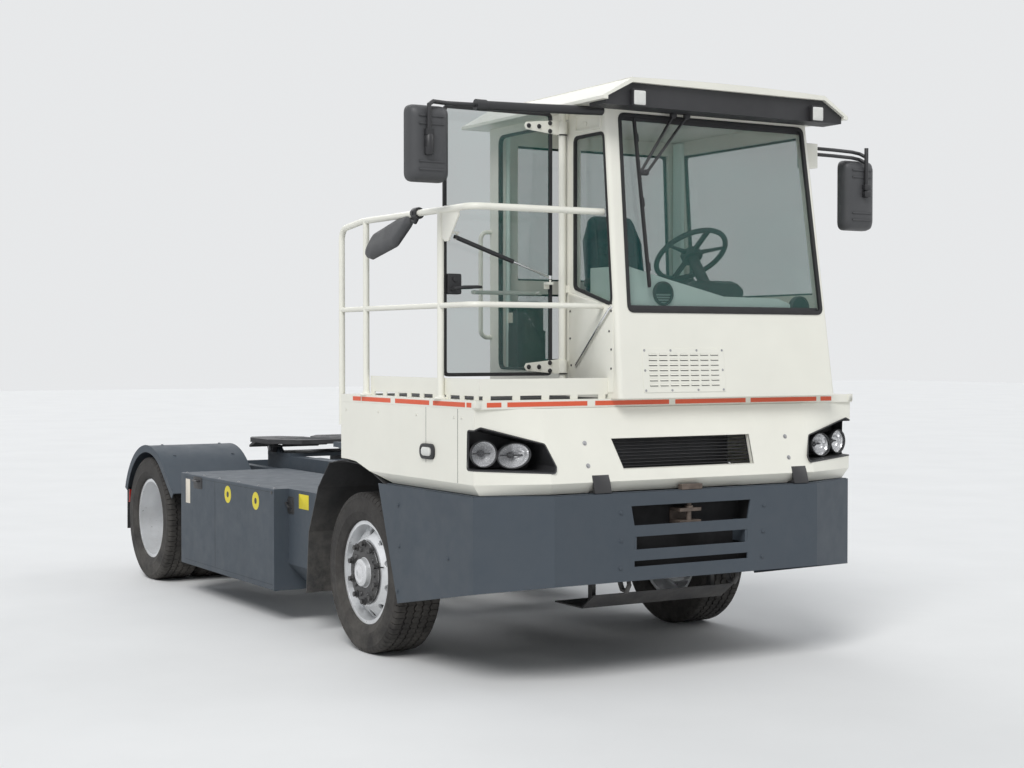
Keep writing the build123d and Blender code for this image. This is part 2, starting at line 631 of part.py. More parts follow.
def body_loft(inset, z_grow):
    """Front body between its three outlines, made smaller by inset."""
    low_inset = BODY_HEM_INSET + inset
    low = body_section(BODY_BOTTOM - z_grow, BODY_CORNER_X - 22 - inset * 0.4, BODY_FRONT_LOW_X, BUMPER_FLAT_Y - 12, low_inset)
    mid = body_section(BODY_HEM, BODY_CORNER_X - 10 - inset * 0.4, BODY_FRONT_LOW_X, BUMPER_FLAT_Y, inset)
    top = body_section(DECK_BOTTOM + z_grow, BODY_CORNER_X - inset * 0.4, BODY_FRONT_TOP_X, BUMPER_FLAT_Y, inset)
    lower = loft([low, mid], ruled=True)
    upper = loft([mid, top], ruled=True)
    return lower + upper


def front_body():
    """Folded white sheet body with wheel arches, lamp pockets and intake opening."""
    shell = body_loft(0, 0) - body_loft(SHEET, 4)
    arch = [(BODY_REAR_X - 50, BODY_BOTTOM - 30), (fx(380), BODY_BOTTOM - 30), (fx(380), BODY_BOTTOM + 4),
            (fx(200), ARCH_TOP - 60), (fx(0), ARCH_TOP - 8), (fx(-120), ARCH_TOP), (BODY_REAR_X - 50, ARCH_TOP)]
    shell -= slab_xz(arch, -HALF_WIDTH - 50, HALF_WIDTH + 50)
    hole = [(-465, 1282), (450, 1282), (450, 1125), (-415, 1125)]
    shell -= slab_yz(hole, BODY_FRONT_TOP_X - 80, BODY_FRONT_LOW_X + 40)
    for side in (1, -1):
        w = HALF_WIDTH
        outline = [(w + 12, 1330), (w - 35, 1350), (w - 370, 1262), (w - 412, 1150), (w - 405, 1120), (w + 12, 1140)]
        lamp = [(side * y, z) for y, z in outline]
        shell -= slab_yz(lamp, BODY_CORNER_X - 75, BODY_FRONT_LOW_X + 40)
    put("front_body", shell)


def lamps():
    """Headlamp pairs in dark pockets, work lamps, tail lamps and side markers."""
    pockets = []
    for side in (1, -1):
        y_out = HALF_WIDTH - 18
        back = box(BODY_CORNER_X - 150, BODY_CORNER_X - 138, side * (HALF_WIDTH - 390), side * y_out, 1115, 1345)
        back += box(BODY_CORNER_X - 150, BODY_CORNER_X - 90, side * (y_out - 6), side * (HALF_WIDTH - SHEET), 1115, 1345)
        for y, z, r in ((HALF_WIDTH - 82, 1222, 62), (HALF_WIDTH - 235, 1208, 78)):
            lamp = rod((BODY_CORNER_X - 140, side * y, z), (BODY_CORNER_X - 40, side * y, z), r)
            lamp = chamfer(lamp.edges().sort_by(Axis.X)[-1], 12)
            back += lamp
        pockets.append(back)
    put("headlamps", *pockets)
    works = []
    for y in (-345, 865):
        works.append(box(ROOF_FRONT_X - 22, ROOF_FRONT_X + 5, y - 42, y + 42, CAB_TOP - 19, CAB_TOP + 61))
    put("work_lamps", *works)


def platform():
    """Deck plate with rolled edge and a raised toe board on feet."""
    deck = box(BODY_REAR_X, BODY_CORNER_X + 14, -HALF_WIDTH, HALF_WIDTH, DECK_BOTTOM, DECK_TOP)
    board_low = DECK_TOP + 22
    board_top = 1600
    y = RAIL_Y + RAIL_TUBE_R + 0.3
    x1 = BODY_CORNER_X - 10
    deck += box(fx(120), x1, y, y + SHEET, board_low, board_top)
    deck += box(x1 - SHEET, x1, y, CAB_RIGHT_Y - 2, board_low, board_top)
    feet = 9
    for i in range(feet):
        x = fx(125) + (x1 - fx(125) - 60) * i / (feet - 1)
        deck += box(x, x + 45, y, y + SHEET, DECK_TOP - 1, board_low + 1)
    for i in range(5):
        yy = y + 20 + (CAB_RIGHT_Y - 62 - y - 20) * i / 4
        deck += box(x1 - SHEET, x1, yy, yy + 45, DECK_TOP - 1, board_low + 1)
    put("platform", deck)
    outer = -(HALF_WIDTH - 70)
    inner = -ARCH_INNER_Y
    step = box(BODY_REAR_X - 262, BODY_REAR_X - 2, outer, inner, 1165, 1195)
    for i in range(5):
        x = BODY_REAR_X - 240 + i * 46
        step -= box(x, x + 28, outer + 20, inner - 20, 1150, 1210)
    for y in (outer, inner - 10):
        gusset = [(BODY_REAR_X - 2, 1165), (BODY_REAR_X - 200, 1165), (BODY_REAR_X - 2, 1130)]
        step += slab_xz(gusset, y, y + 10)
    step += box(BODY_REAR_X - 6, BODY_REAR_X, outer, inner, 1125, 1200)
    put("access_step", step)


def bent_tube(points, radii, r):
    """Round tube along straight runs joined by arcs."""
    path = FilletPolyline(*points, radius=radii)
    start = Vector(*points[0])
    direction = Vector(*points[1]) - start
    profile = Plane(origin=start, z_dir=direction) * Circle(r)
    return sweep(profile, path=path)


def strut_ends():
    """Strut base, its eye with the door open and closed, and the axis it swings on."""
    base = Vector(fx(STRUT_BASE_X), STRUT_BASE_Y, STRUT_BASE_Z)
    eye_open = Vector(DOOR_AXIS_X + STRUT_STUD_X, DOOR_AXIS_Y + STRUT_STUD_Y, STRUT_EYE_Z)
    eye_closed = Vector(DOOR_AXIS_X + STRUT_STUD_Y, DOOR_AXIS_Y - STRUT_STUD_X, STRUT_EYE_Z)
    axis = (eye_open - base).cross(eye_closed - base).normalized()
    return base, eye_open, axis


def handrail():
    """White tube rail round the platform with its strut bracket."""
    cab_y = CAB_RIGHT_Y - 1
    top = [(RAIL_BACK_X, RAIL_Y, 1310), (RAIL_BACK_X, RAIL_Y, RAIL_HIGH - 30), (fx(60), RAIL_Y, RAIL_HIGH),
           (RAIL_CORNER_X, RAIL_Y, RAIL_HIGH), (RAIL_CORNER_X, cab_y, RAIL_HIGH)]
    rail = bent_tube(top, [RAIL_BEND, 300, RAIL_BEND], RAIL_TUBE_R)
    mid = [(RAIL_BACK_X, RAIL_Y, RAIL_MID), (RAIL_CORNER_X, RAIL_Y, RAIL_MID), (RAIL_CORNER_X, cab_y, RAIL_MID)]
    rail += bent_tube(mid, [RAIL_BEND], RAIL_TUBE_R - 3)
    for x in (100, 990):
        rail += rod((fx(x), RAIL_Y, DECK_TOP), (fx(x), RAIL_Y, RAIL_HIGH), RAIL_TUBE_R)
    rail += rod((RAIL_BACK_X, RAIL_Y, 1330), (BODY_REAR_X, RAIL_Y, 1330), 12)
    rail += rod((RAIL_BACK_X, RAIL_Y, 1430), (BODY_REAR_X, RAIL_Y, 1430), 12)
    gusset = [(fx(990), RAIL_HIGH - 4), (fx(1190), RAIL_HIGH - 4), (fx(1190), RAIL_HIGH - 40),
              (fx(1080), STRUT_BASE_Z - 22), (fx(1040), STRUT_BASE_Z - 22), (fx(990), RAIL_HIGH - 130)]
    rail += slab_xz(gusset, RAIL_Y - 4, RAIL_Y + 4)
    base, eye, axis = strut_ends()
    pin_top = base + axis * (STRUT_EYE_HALF + 17)
    rail += rod(tuple(base - axis * (STRUT_EYE_HALF + 3)), tuple(pin_top), STRUT_PIN_R)
    rail += rod((pin_top.X, RAIL_Y, pin_top.Z), (pin_top.X, pin_top.Y + STRUT_PIN_R, pin_top.Z), STRUT_PIN_R)
    put("handrail", rail)


def cab_block(inset, z0, z1):
    """Tapered cab block: raked front and leaning left wall, made smaller by inset."""
    sections = []
    for z in (z0, z1):
        t = (z - DECK_TOP) / (CAB_TOP - DECK_TOP)
        front = CAB_FRONT_LOW_X + (CAB_FRONT_TOP_X - CAB_FRONT_LOW_X) * t - inset
        left = CAB_LEFT_Y + (CAB_LEFT_TOP_Y - CAB_LEFT_Y) * t - inset
        rear = CAB_REAR_X + inset
        right = CAB_RIGHT_Y + inset
        points = [(rear, right, z), (front, right, z), (front, left, z), (rear, left, z)]
        sections.append(make_face(Polyline(*points, close=True)))
    return loft(sections, ruled=True)


def front_x_at(z):
    """X of the cab's raked front face at a height."""
    t = (z - DECK_TOP) / (CAB_TOP - DECK_TOP)
    return CAB_FRONT_LOW_X + (CAB_FRONT_TOP_X - CAB_FRONT_LOW_X) * t


def left_y_at(z):
    """Y of the cab's leaning left wall at a height."""
    t = (z - DECK_TOP) / (CAB_TOP - DECK_TOP)
    return CAB_LEFT_Y + (CAB_LEFT_TOP_Y - CAB_LEFT_Y) * t


WINDSCREEN = [(-345, 1955), (978, 1955), (905, CAB_TOP - 45), (-345, CAB_TOP - 45)]
QUARTER = [(1040, 2085), (1405, 1985), (1322, CAB_TOP - 145), (1040, CAB_TOP - 145)]
LEFT_WINDOW = [(190, 2060), (1370, 2060), (1290, CAB_TOP - 85), (190, CAB_TOP - 85)]
REAR_WINDOW = [(-250, 2160), (880, 2160), (850, CAB_TOP - 85), (-250, CAB_TOP - 85)]
REAR_LOW_WINDOW = [(-250, 1680), (880, 1680), (880, 2080), (-250, 2080)]
DOOR_OPENING = [(235, 1640), (945, 1640), (945, CAB_TOP - 55), (235, CAB_TOP - 55)]


def cab():
    """Hollow cab with its door opening and window openings."""
    shell = cab_block(0, DECK_TOP, CAB_TOP)
    shell = fillet(shell.edges().filter_by(lambda e: abs(e.tangent_at(0.5).Z) > 0.9), 26)
    shell -= cab_block(CAB_WALL, DECK_TOP + CAB_WALL, CAB_TOP + 5)
    shell -= slab_yz(WINDSCREEN, CAB_FRONT_TOP_X - 90, CAB_FRONT_LOW_X + 60)
    for outline in (QUARTER, DOOR_OPENING):
        hole = [(fx(x), z) for x, z in outline]
        shell -= slab_xz(hole, CAB_RIGHT_Y - 30, CAB_RIGHT_Y + CAB_WALL + 20)
    left = [(fx(x), z) for x, z in LEFT_WINDOW]
    shell -= slab_xz(left, CAB_LEFT_TOP_Y - CAB_WALL - 90, CAB_LEFT_Y + 30)
    for outline in (REAR_WINDOW, REAR_LOW_WINDOW):
        shell -= slab_yz(outline, CAB_REAR_X - 20, CAB_REAR_X + CAB_WALL + 20)
    post_x = DOOR_AXIS_X
    post = cyl_z(post_x, DOOR_AXIS_Y, DECK_TOP + 40, CAB_TOP, DOOR_POST_R)
    for z0, z1 in ((DECK_TOP + 45, DECK_TOP + 85), (DECK_TOP + 570, DECK_TOP + 610), (CAB_TOP - 40, CAB_TOP)):
        post += box(post_x - 10, post_x + 10, DOOR_AXIS_Y, CAB_RIGHT_Y + 4, z0, z1)
    shell += post
    put("cab_shell", shell)


def glazing():
    """Windscreen and fixed side and rear panes set in their openings."""
    depth = 14
    low = WINDSCREEN[0][1]
    top = WINDSCREEN[2][1]
    t0 = front_x_at(low) - depth
    t1 = front_x_at(top) - depth
    pane = [(t0 - GLASS, low), (t0, low), (t1, top), (t1 - GLASS, top)]
    screen = slab_xz(pane, -345, 978) & slab_yz(WINDSCREEN, CAB_FRONT_TOP_X - 90, CAB_FRONT_LOW_X + 60)
    put("windscreen", screen)
    panes = []
    quarter = [(fx(x), z) for x, z in QUARTER]
    panes.append(slab_xz(quarter, CAB_RIGHT_Y + 12, CAB_RIGHT_Y + 12 + GLASS))
    left = [(fx(x), z) for x, z in LEFT_WINDOW]
    low = LEFT_WINDOW[0][1]
    top = LEFT_WINDOW[2][1]
    y0 = left_y_at(low) - depth
    y1 = left_y_at(top) - depth
    lean = [(y0 - GLASS, low), (y0, low), (y1, top), (y1 - GLASS, top)]
    panes.append(slab_xz(left, CAB_LEFT_TOP_Y - 130, CAB_LEFT_Y) & slab_yz(lean, fx(100), fx(1500)))
    for outline in (REAR_WINDOW, REAR_LOW_WINDOW):
        panes.append(slab_yz(outline, CAB_REAR_X + 12, CAB_REAR_X + 12 + GLASS))
    put("cab_windows", *panes)


def roof():
    """Folded white roof over a black front fascia."""
    eave = CAB_TOP
    crown = ROOF_CROWN - ROOF_CAMBER
    lip = eave + 18
    outline = [(ROOF_EAVE_RIGHT_Y, eave), (ROOF_EAVE_RIGHT_Y, lip), (ROOF_CROWN_RIGHT_Y, crown),
               (ROOF_CROWN_LEFT_Y, crown), (ROOF_EAVE_LEFT_Y, lip), (ROOF_EAVE_LEFT_Y, eave)]
    cap = slab_yz(outline, ROOF_REAR_X, ROOF_FRONT_X)
    mid_y = (ROOF_CROWN_RIGHT_Y + ROOF_CROWN_LEFT_Y) / 2
    arc = ThreePointArc((ROOF_CROWN_RIGHT_Y, crown), (mid_y, ROOF_CROWN), (ROOF_CROWN_LEFT_Y, crown))
    base = Line((ROOF_CROWN_RIGHT_Y, crown), (ROOF_CROWN_LEFT_Y, crown))
    dome = extrude(Plane.YZ * make_face([arc, base]), ROOF_FRONT_X - ROOF_REAR_X, dir=(1, 0, 0))
    cap += Pos(ROOF_REAR_X, 0, 0) * dome
    inner = [(ROOF_EAVE_RIGHT_Y + 30, eave - 1), (ROOF_EAVE_RIGHT_Y + 30, lip), (ROOF_CROWN_RIGHT_Y, crown - ROOF_SKIN),
             (ROOF_CROWN_LEFT_Y, crown - ROOF_SKIN), (ROOF_EAVE_LEFT_Y - 30, lip), (ROOF_EAVE_LEFT_Y - 30, eave - 1)]
    start = CAB_FRONT_TOP_X + 12
    cap -= slab_yz(inner, start, ROOF_FRONT_X + 10)
    put("cab_roof", cap)
    fascia = [(ROOF_EAVE_RIGHT_Y + 30, eave - 22), (ROOF_EAVE_RIGHT_Y + 30, lip),
              (ROOF_CROWN_RIGHT_Y, crown - ROOF_SKIN), (ROOF_CROWN_LEFT_Y, crown - ROOF_SKIN),
              (ROOF_EAVE_LEFT_Y - 30, lip), (ROOF_EAVE_LEFT_Y - 30, eave - 22)]
    put("roof_fascia", slab_yz(fascia, start, ROOF_FRONT_X - 22))


def interior():
    """Dashboard, steering wheel on its column, seat and floor box."""
    floor = DECK_TOP + CAB_WALL
    back = fx(1130)
    # y, z of the dash top as seen through the windscreen
    top = [(-385, 2190), (-300, 2190), (-60, 2130), (320, 2040), (700, 2035), (770, 2010), (930, 1930), (940, 1560)]
    dash = slab_yz(top + [(-385, 1560)], back, fx(1600))
    dash &= cab_block(CAB_WALL, floor, CAB_TOP - 100)
    put("dashboard", dash)
    seat_x = fx(560)
    seat_y = 380
    base = box(seat_x - 200, seat_x + 170, seat_y - 190, seat_y + 190, floor, floor + 60)
    base += box(seat_x - 150, seat_x + 120, seat_y - 140, seat_y + 140, floor + 60, floor + 330)
    base += box(seat_x - 240, seat_x + 220, seat_y - 220, seat_y + 220, floor + 330, floor + 360)
    put("seat_base", base)
    cushion = box(seat_x - 230, seat_x + 250, seat_y - 245, seat_y + 245, floor + 360, floor + 470)
    cushion = fillet(cushion.edges().filter_by(Axis.Z), 60)
    put("seat_cushion", cushion)
    rest_x = seat_x - 230 - SOFT_GAP
    rest = [(rest_x, floor + 400), (rest_x - 100, floor + 400), (rest_x - 198, floor + 1060),
            (rest_x - 108, floor + 1060)]
    put("seat_back", slab_xz(rest, seat_y - 235, seat_y + 235))
    wheel_c = Vector(fx(1010), seat_y, 2290)
    tilt = Vector(-math.sin(math.radians(38)), 0, math.cos(math.radians(38)))
    plane = Plane(origin=wheel_c, z_dir=tilt)
    wheel = plane * Torus(210, 15)
    wheel += extrude(plane * Circle(46), 14, both=True)
    spoke = extrude(plane * Rectangle(424, 30), 7, both=True)
    wheel += spoke & (extrude(plane * Circle(212), 20, both=True))
    column_end = wheel_c - tilt * 330
    wheel += rod(tuple(wheel_c), tuple(column_end), 32)
    wheel -= dash
    put("steering_wheel", wheel)
    put("floor_box", box(fx(190), fx(330), -368, -175, floor, floor + 330))


def grab_and_wiper():
    """Entry grab bar at the rear pillar and the pantograph wiper on the fascia."""
    x = CAB_REAR_X + 30
    y = CAB_RIGHT_Y
    points = [(x, y, 2440), (x, y - 70, 2440), (x, y - 70, 1820), (x, y, 1820)]
    put("grab_bar", bent_tube(points, [45, 45], 13))
    gap = 16
    arms = None
    for (y0, z0), (y1, z1) in (((-20, CAB_TOP - 33), (-232, CAB_TOP - 345)), ((70, CAB_TOP - 33), (-200, CAB_TOP - 355))):
        start = (front_x_at(z0) + gap + 26, y0, z0)
        arm = rod(start, (front_x_at(z1) + gap, y1, z1), 8)
        arm += rod(start, (start[0], start[1], CAB_TOP - 22), 11)
        arms = arm if arms is None else arms + arm
    joint_z = CAB_TOP - 355
    arms += rod((front_x_at(joint_z) + gap, -240, joint_z), (front_x_at(joint_z) + gap, -195, joint_z), 13)
    top_z = CAB_TOP - 60
    low_z = top_z - 905
    blade_top = (front_x_at(top_z) + gap - 6, -262, top_z)
    blade_low = (front_x_at(low_z) + gap - 6, -215, low_z)
    arms += rod(blade_top, blade_low, 8)
    put("wiper", arms)


def mirrors():
    """Mirrors on their arms: upper and lower right, and left."""
    rod_y = HALF_WIDTH + MIRROR_REACH
    root_z = CAB_TOP - 29
    bend_z = CAB_TOP - 33
    arm = rod((fx(1310), CAB_RIGHT_Y + 10, root_z), (fx(1190), 320 - rod_y, bend_z), MIRROR_ARM_R)
    arm += rod((fx(1190), 330 - rod_y, bend_z), (fx(1180), -rod_y, CAB_TOP - 45), MIRROR_TUBE_R + 2)
    arm += rod((fx(1180), -rod_y, CAB_TOP - 40), (fx(1180), -rod_y, CAB_TOP - 285), MIRROR_TUBE_R)
    arm -= cab_block(0, DECK_TOP, CAB_TOP)
    head_top = CAB_TOP - 55
    head = box(fx(1150), fx(1240), -rod_y - 94, 140 - rod_y, head_top - MIRROR_RIGHT_HEIGHT, head_top)
    head = fillet(head.edges().filter_by(Axis.X), 40)
    put("right_mirror", arm + head)
    low = rod((fx(655), RAIL_Y, RAIL_HIGH), (fx(725), RAIL_Y, RAIL_HIGH), RAIL_TUBE_R + 9)
    low -= rod((fx(600), RAIL_Y, RAIL_HIGH), (fx(800), RAIL_Y, RAIL_HIGH), RAIL_TUBE_R + 0.3)
    low += rod((fx(690), RAIL_Y, RAIL_HIGH - RAIL_TUBE_R - 9), (fx(600), RAIL_Y - 8, RAIL_HIGH - 75), 8)
    tilt = Plane(origin=(fx(430), RAIL_Y - 6, RAIL_HIGH - 105), x_dir=(0.995, 0, 0.1), z_dir=(0.03, -0.95, 0.3))
    low += extrude(tilt * RectangleRounded(400, 120, 50), 10, both=True)
    put("right_low_mirror", low)
    bracket_top = CAB_TOP - 115
    bracket_y = left_y_at(CAB_TOP - 195) - 12
    bracket = box(fx(1262), fx(1322), bracket_y, ROOF_EAVE_LEFT_Y, bracket_top - 140, bracket_top)
    for z in (bracket_top - 55, bracket_top - 25):
        bracket += rod((fx(1300), ROOF_EAVE_LEFT_Y - 10, z), (fx(1250), rod_y, z), MIRROR_TUBE_R)
    bracket += rod((fx(1250), rod_y, bracket_top - 5), (fx(1250), rod_y, bracket_top - 290), MIRROR_TUBE_R + 1)
    bracket -= cab_block(0, DECK_TOP, CAB_TOP)
    head_top = CAB_TOP - 185
    head = box(fx(1200), fx(1290), rod_y - 140, rod_y + 94, head_top - MIRROR_LEFT_HEIGHT, head_top)
    head = fillet(head.edges().filter_by(Axis.X), 40)
    put("left_mirror", bracket + head)


def side_boxes():
    """Long and short lockers between the axles, one pair on each side."""
    lockers = []
    small_lockers = []
    for side in (-1, 1):
        big = box(BOX_REAR_X, BOX_FRONT_X, side * RAIL_OUTER_Y, side * HALF_WIDTH, BOX_BOTTOM, BOX_TOP)
        inner_low = box(BOX_REAR_X - 1, BOX_FRONT_X + 1, side * RAIL_OUTER_Y, side * (HALF_WIDTH - 520), 0, RAIL_BOTTOM)
        big -= inner_low
        edge = big.edges().filter_by(Axis.X).sort_by(lambda e: -side * e.center().Y + 0.001 * e.center().Z)
        big = fillet(edge[0:2], 8)
        lockers.append(big)
        y_out = side * (HALF_WIDTH - SMALL_BOX_INSET)
        small = box(BOX_FRONT_X, SMALL_BOX_FRONT_X, side * RAIL_OUTER_Y, y_out, BOX_BOTTOM + 60, BOX_TOP)
        wedge = [(y_out + side, BOX_BOTTOM + 59), (y_out + side, BOX_BOTTOM + 170), (y_out - side * 110, BOX_BOTTOM + 59)]
        small -= slab_yz(wedge, BOX_FRONT_X - 1, SMALL_BOX_FRONT_X + 1)
        small -= box(BOX_FRONT_X - 1, SMALL_BOX_FRONT_X + 1, side * RAIL_OUTER_Y, side * (HALF_WIDTH - 520), 0, RAIL_BOTTOM)
        small_lockers.append(small)
    put("side_boxes", *lockers)
    put("small_boxes", *small_lockers)


ARCH_POINTS = [
    # x ahead of the front axle, z
    (-737, 258), (-697, 637), (-559, 917), (-395, 1078), (-215, 1104), (80, 1092), (390, 985), (590, 800), (640, 560),
]


def offset_strip(points, thick):
    """Closed outline of a strip that follows points, thick to its inner side."""
    inner = []
    count = len(points)
    for i in range(count):
        a = points[max(i - 1, 0)]
        b = points[min(i + 1, count - 1)]
        length = math.hypot(b[0] - a[0], b[1] - a[1])
        nx = (b[1] - a[1]) / length
        nz = -(b[0] - a[0]) / length
        inner.append((points[i][0] + nx * thick, points[i][1] + nz * thick))
    return list(points) + inner[::-1]


def mudguards():
    """Black arch liners over the front wheels, carried from the rails."""
    points = [(fx(x), z) for x, z in ARCH_POINTS]
    guards = []
    for side in (1, -1):
        y_out = side * (HALF_WIDTH - 12)
        guard = slab_xz(offset_strip(points, ARCH_SHEET), side * ARCH_INNER_Y, y_out)
        for x, z in ((-680, 707), (625, 703)):
            guard += cyl_y(fx(x), z, side * RAIL_OUTER_Y, side * 900, 16)
        guards.append(guard)
    put("front_mudguards", *guards)


def fender_curve(radius):
    """Fender section: round over the tyre with a straight front run."""
    cx = REAR_AXLE_X
    cz = AXLE_Z
    rear = math.radians(159)
    front = math.radians(FENDER_FRONT_ANGLE)
    top = math.radians(104)
    run = 300
    start, middle, end = [(cx + radius * math.cos(a), cz + radius * math.sin(a)) for a in (rear, top, front)]
    tip = (end[0] + run * math.sin(front), end[1] - run * math.cos(front))
    return start, middle, end, tip


def fender_section(r_out, r_in):
    """Closed face between two fender curves."""
    a0, a1, a2, a3 = fender_curve(r_out)
    b0, b1, b2, b3 = fender_curve(r_in)
    edges = [ThreePointArc(a0, a1, a2), Line(a2, a3), Line(a3, b3), Line(b3, b2), ThreePointArc(b2, b1, b0), Line(b0, a0)]
    return make_face(edges)


def fenders():
    """Blue-grey sheet fenders over the twin tyres with a side lip and carrier tubes."""
    skins = []
    for side in (1, -1):
        y0 = min(side * FENDER_INNER_Y, side * HALF_WIDTH)
        skin = extrude(Plane.XZ * fender_section(FENDER_R + SHEET, FENDER_R), HALF_WIDTH - FENDER_INNER_Y, dir=(0, 1, 0))
        skin = Pos(0, y0, 0) * skin
        lip = extrude(Plane.XZ * fender_section(FENDER_R + SHEET, FENDER_R - FENDER_LIP), SHEET, dir=(0, 1, 0))
        lip_y = HALF_WIDTH - SHEET if side > 0 else -HALF_WIDTH
        skin += Pos(0, lip_y, 0) * lip
        r = FENDER_R - FENDER_TUBE_R + 1
        for a, run in ((143, 0), (FENDER_FRONT_ANGLE, 110)):
            x = REAR_AXLE_X + r * math.cos(math.radians(a)) + run * math.sin(math.radians(a))
            z = AXLE_Z + r * math.sin(math.radians(a)) - run * math.cos(math.radians(a))
            skin += cyl_y(x, z, side * RAIL_OUTER_Y, side * (HALF_WIDTH - 60), FENDER_TUBE_R)
        skins.append(skin)
    put("rear_fenders", *skins)
    tails = []
    for side in (1, -1):
        y = side * (HALF_WIDTH - 170)
        tail = box(REAR_X, REAR_X + 46, y - 150, y + 150, 548, 648)
        tail += box(REAR_X + 10, REAR_X + 40, side * RAIL_OUTER_Y, side * (HALF_WIDTH - 318), 590, 630)
        tails.append(tail)
    put("tail_lamps", *tails)


def engine():
    """Engine and gearbox as plain blocks, and the radiator core."""
    block = box(ENGINE_REAR_X, ENGINE_FRONT_X, -ENGINE_HALF_WIDTH, ENGINE_HALF_WIDTH, ENGINE_BOTTOM, ENGINE_TOP)
    block += box(GEARBOX_REAR_X, ENGINE_REAR_X + 1, -GEARBOX_HALF_WIDTH, GEARBOX_HALF_WIDTH, GEARBOX_BOTTOM, GEARBOX_TOP)
    for x in (ENGINE_REAR_X + 120, ENGINE_FRONT_X - 160):
        half = RAIL_OUTER_Y - RAIL_THICK
        block += box(x, x + 60, -half, half, 640, 700)
    put("engine_gearbox", block)
    core = box(RADIATOR_X, RADIATOR_X + 90, -348, 348, RAIL_BOTTOM + 60, RAIL_TOP + 10)
    core += box(RADIATOR_X, RADIATOR_X + 90, -420, 420, RAIL_TOP + 8, 1330)
    core += box(RADIATOR_X, RADIATOR_X + 60, -(RAIL_OUTER_Y - RAIL_THICK), RAIL_OUTER_Y - RAIL_THICK, 640, 700)
    put("radiator", core)


def door():
    """Glass door, open at a right angle, with its hinge plates and gas strut."""
    x = DOOR_AXIS_X
    y = DOOR_AXIS_Y
    outline = [(y - DOOR_INNER, DOOR_LOW), (y - DOOR_REACH, DOOR_LOW), (y - DOOR_REACH, DOOR_TOP),
               (y - DOOR_INNER, DOOR_TOP)]
    pane = slab_yz(outline, x - DOOR_GLASS / 2, x + DOOR_GLASS / 2)
    pane = fillet(pane.edges().filter_by(Axis.X), 30)
    put("door_glass", pane)
    plates = []
    front = x + DOOR_GLASS / 2
    for z in HINGE_ZS:
        shape = [(y - 16, z - 42), (y - 16, z + 42), (y - HINGE_PLATE_REACH, z + 20), (y - HINGE_PLATE_REACH - 12, z),
                 (y - HINGE_PLATE_REACH, z - 20)]
        plate = slab_yz(shape, front, front + SHEET)
        plate += cyl_z(x, y, z - 34, z + 34, DOOR_POST_R + 9)
        plate -= cyl_z(x, y, z - 60, z + 60, DOOR_POST_R + 0.3)
        plates.append(plate)
    stud_x = x + STRUT_STUD_X
    stud_y = y + STRUT_STUD_Y
    stud_top = STRUT_EYE_Z - STRUT_EYE_HALF - STRUT_OPEN_GAP
    stud = cyl_z(stud_x, stud_y, stud_top - 20, stud_top, STRUT_PIN_R)
    stud += box(front, stud_x + 8, stud_y - 16, stud_y + 16, stud_top - 28, stud_top - 14)
    stud += box(front, front + SHEET, stud_y - 16, stud_y + 16, stud_top - 50, stud_top - 14)
    plates.append(stud)
    put("door_hinge_plates", *plates)


def door_strut():
    """Gas strut from the handrail bracket to the door."""
    base, eye, axis = strut_ends()
    along = (eye - base).normalized()
    p0 = base + along * (STRUT_PIN_R + 4)
    p1 = base + along * STRUT_BARREL_LENGTH
    barrel = rod(tuple(p0), tuple(p1), STRUT_BARREL_R)
    barrel += rod(tuple(base - axis * STRUT_EYE_HALF), tuple(base + axis * STRUT_EYE_HALF), STRUT_EYE_R)
    barrel -= rod(tuple(base - axis * 40), tuple(base + axis * 40), STRUT_PIN_R + 2 * FIT)
    bore_start = base + along * 60
    barrel -= rod(tuple(bore_start), tuple(p1 + along), STRUT_ROD_R + 2 * FIT)
    put("door_strut_barrel", barrel)
    inner = p1 - along * STRUT_OVERLAP
    outer = eye - along * (STRUT_ROD_R + 3)
    piston = rod(tuple(inner), tuple(outer), STRUT_ROD_R)
    head = cyl_z(eye.X, eye.Y, eye.Z - STRUT_EYE_HALF, eye.Z + STRUT_EYE_HALF, STRUT_EYE_R - 3)
    head -= cyl_z(eye.X, eye.Y, eye.Z - 30, eye.Z + 30, STRUT_PIN_R)
    put("door_strut_rod", piston + head)


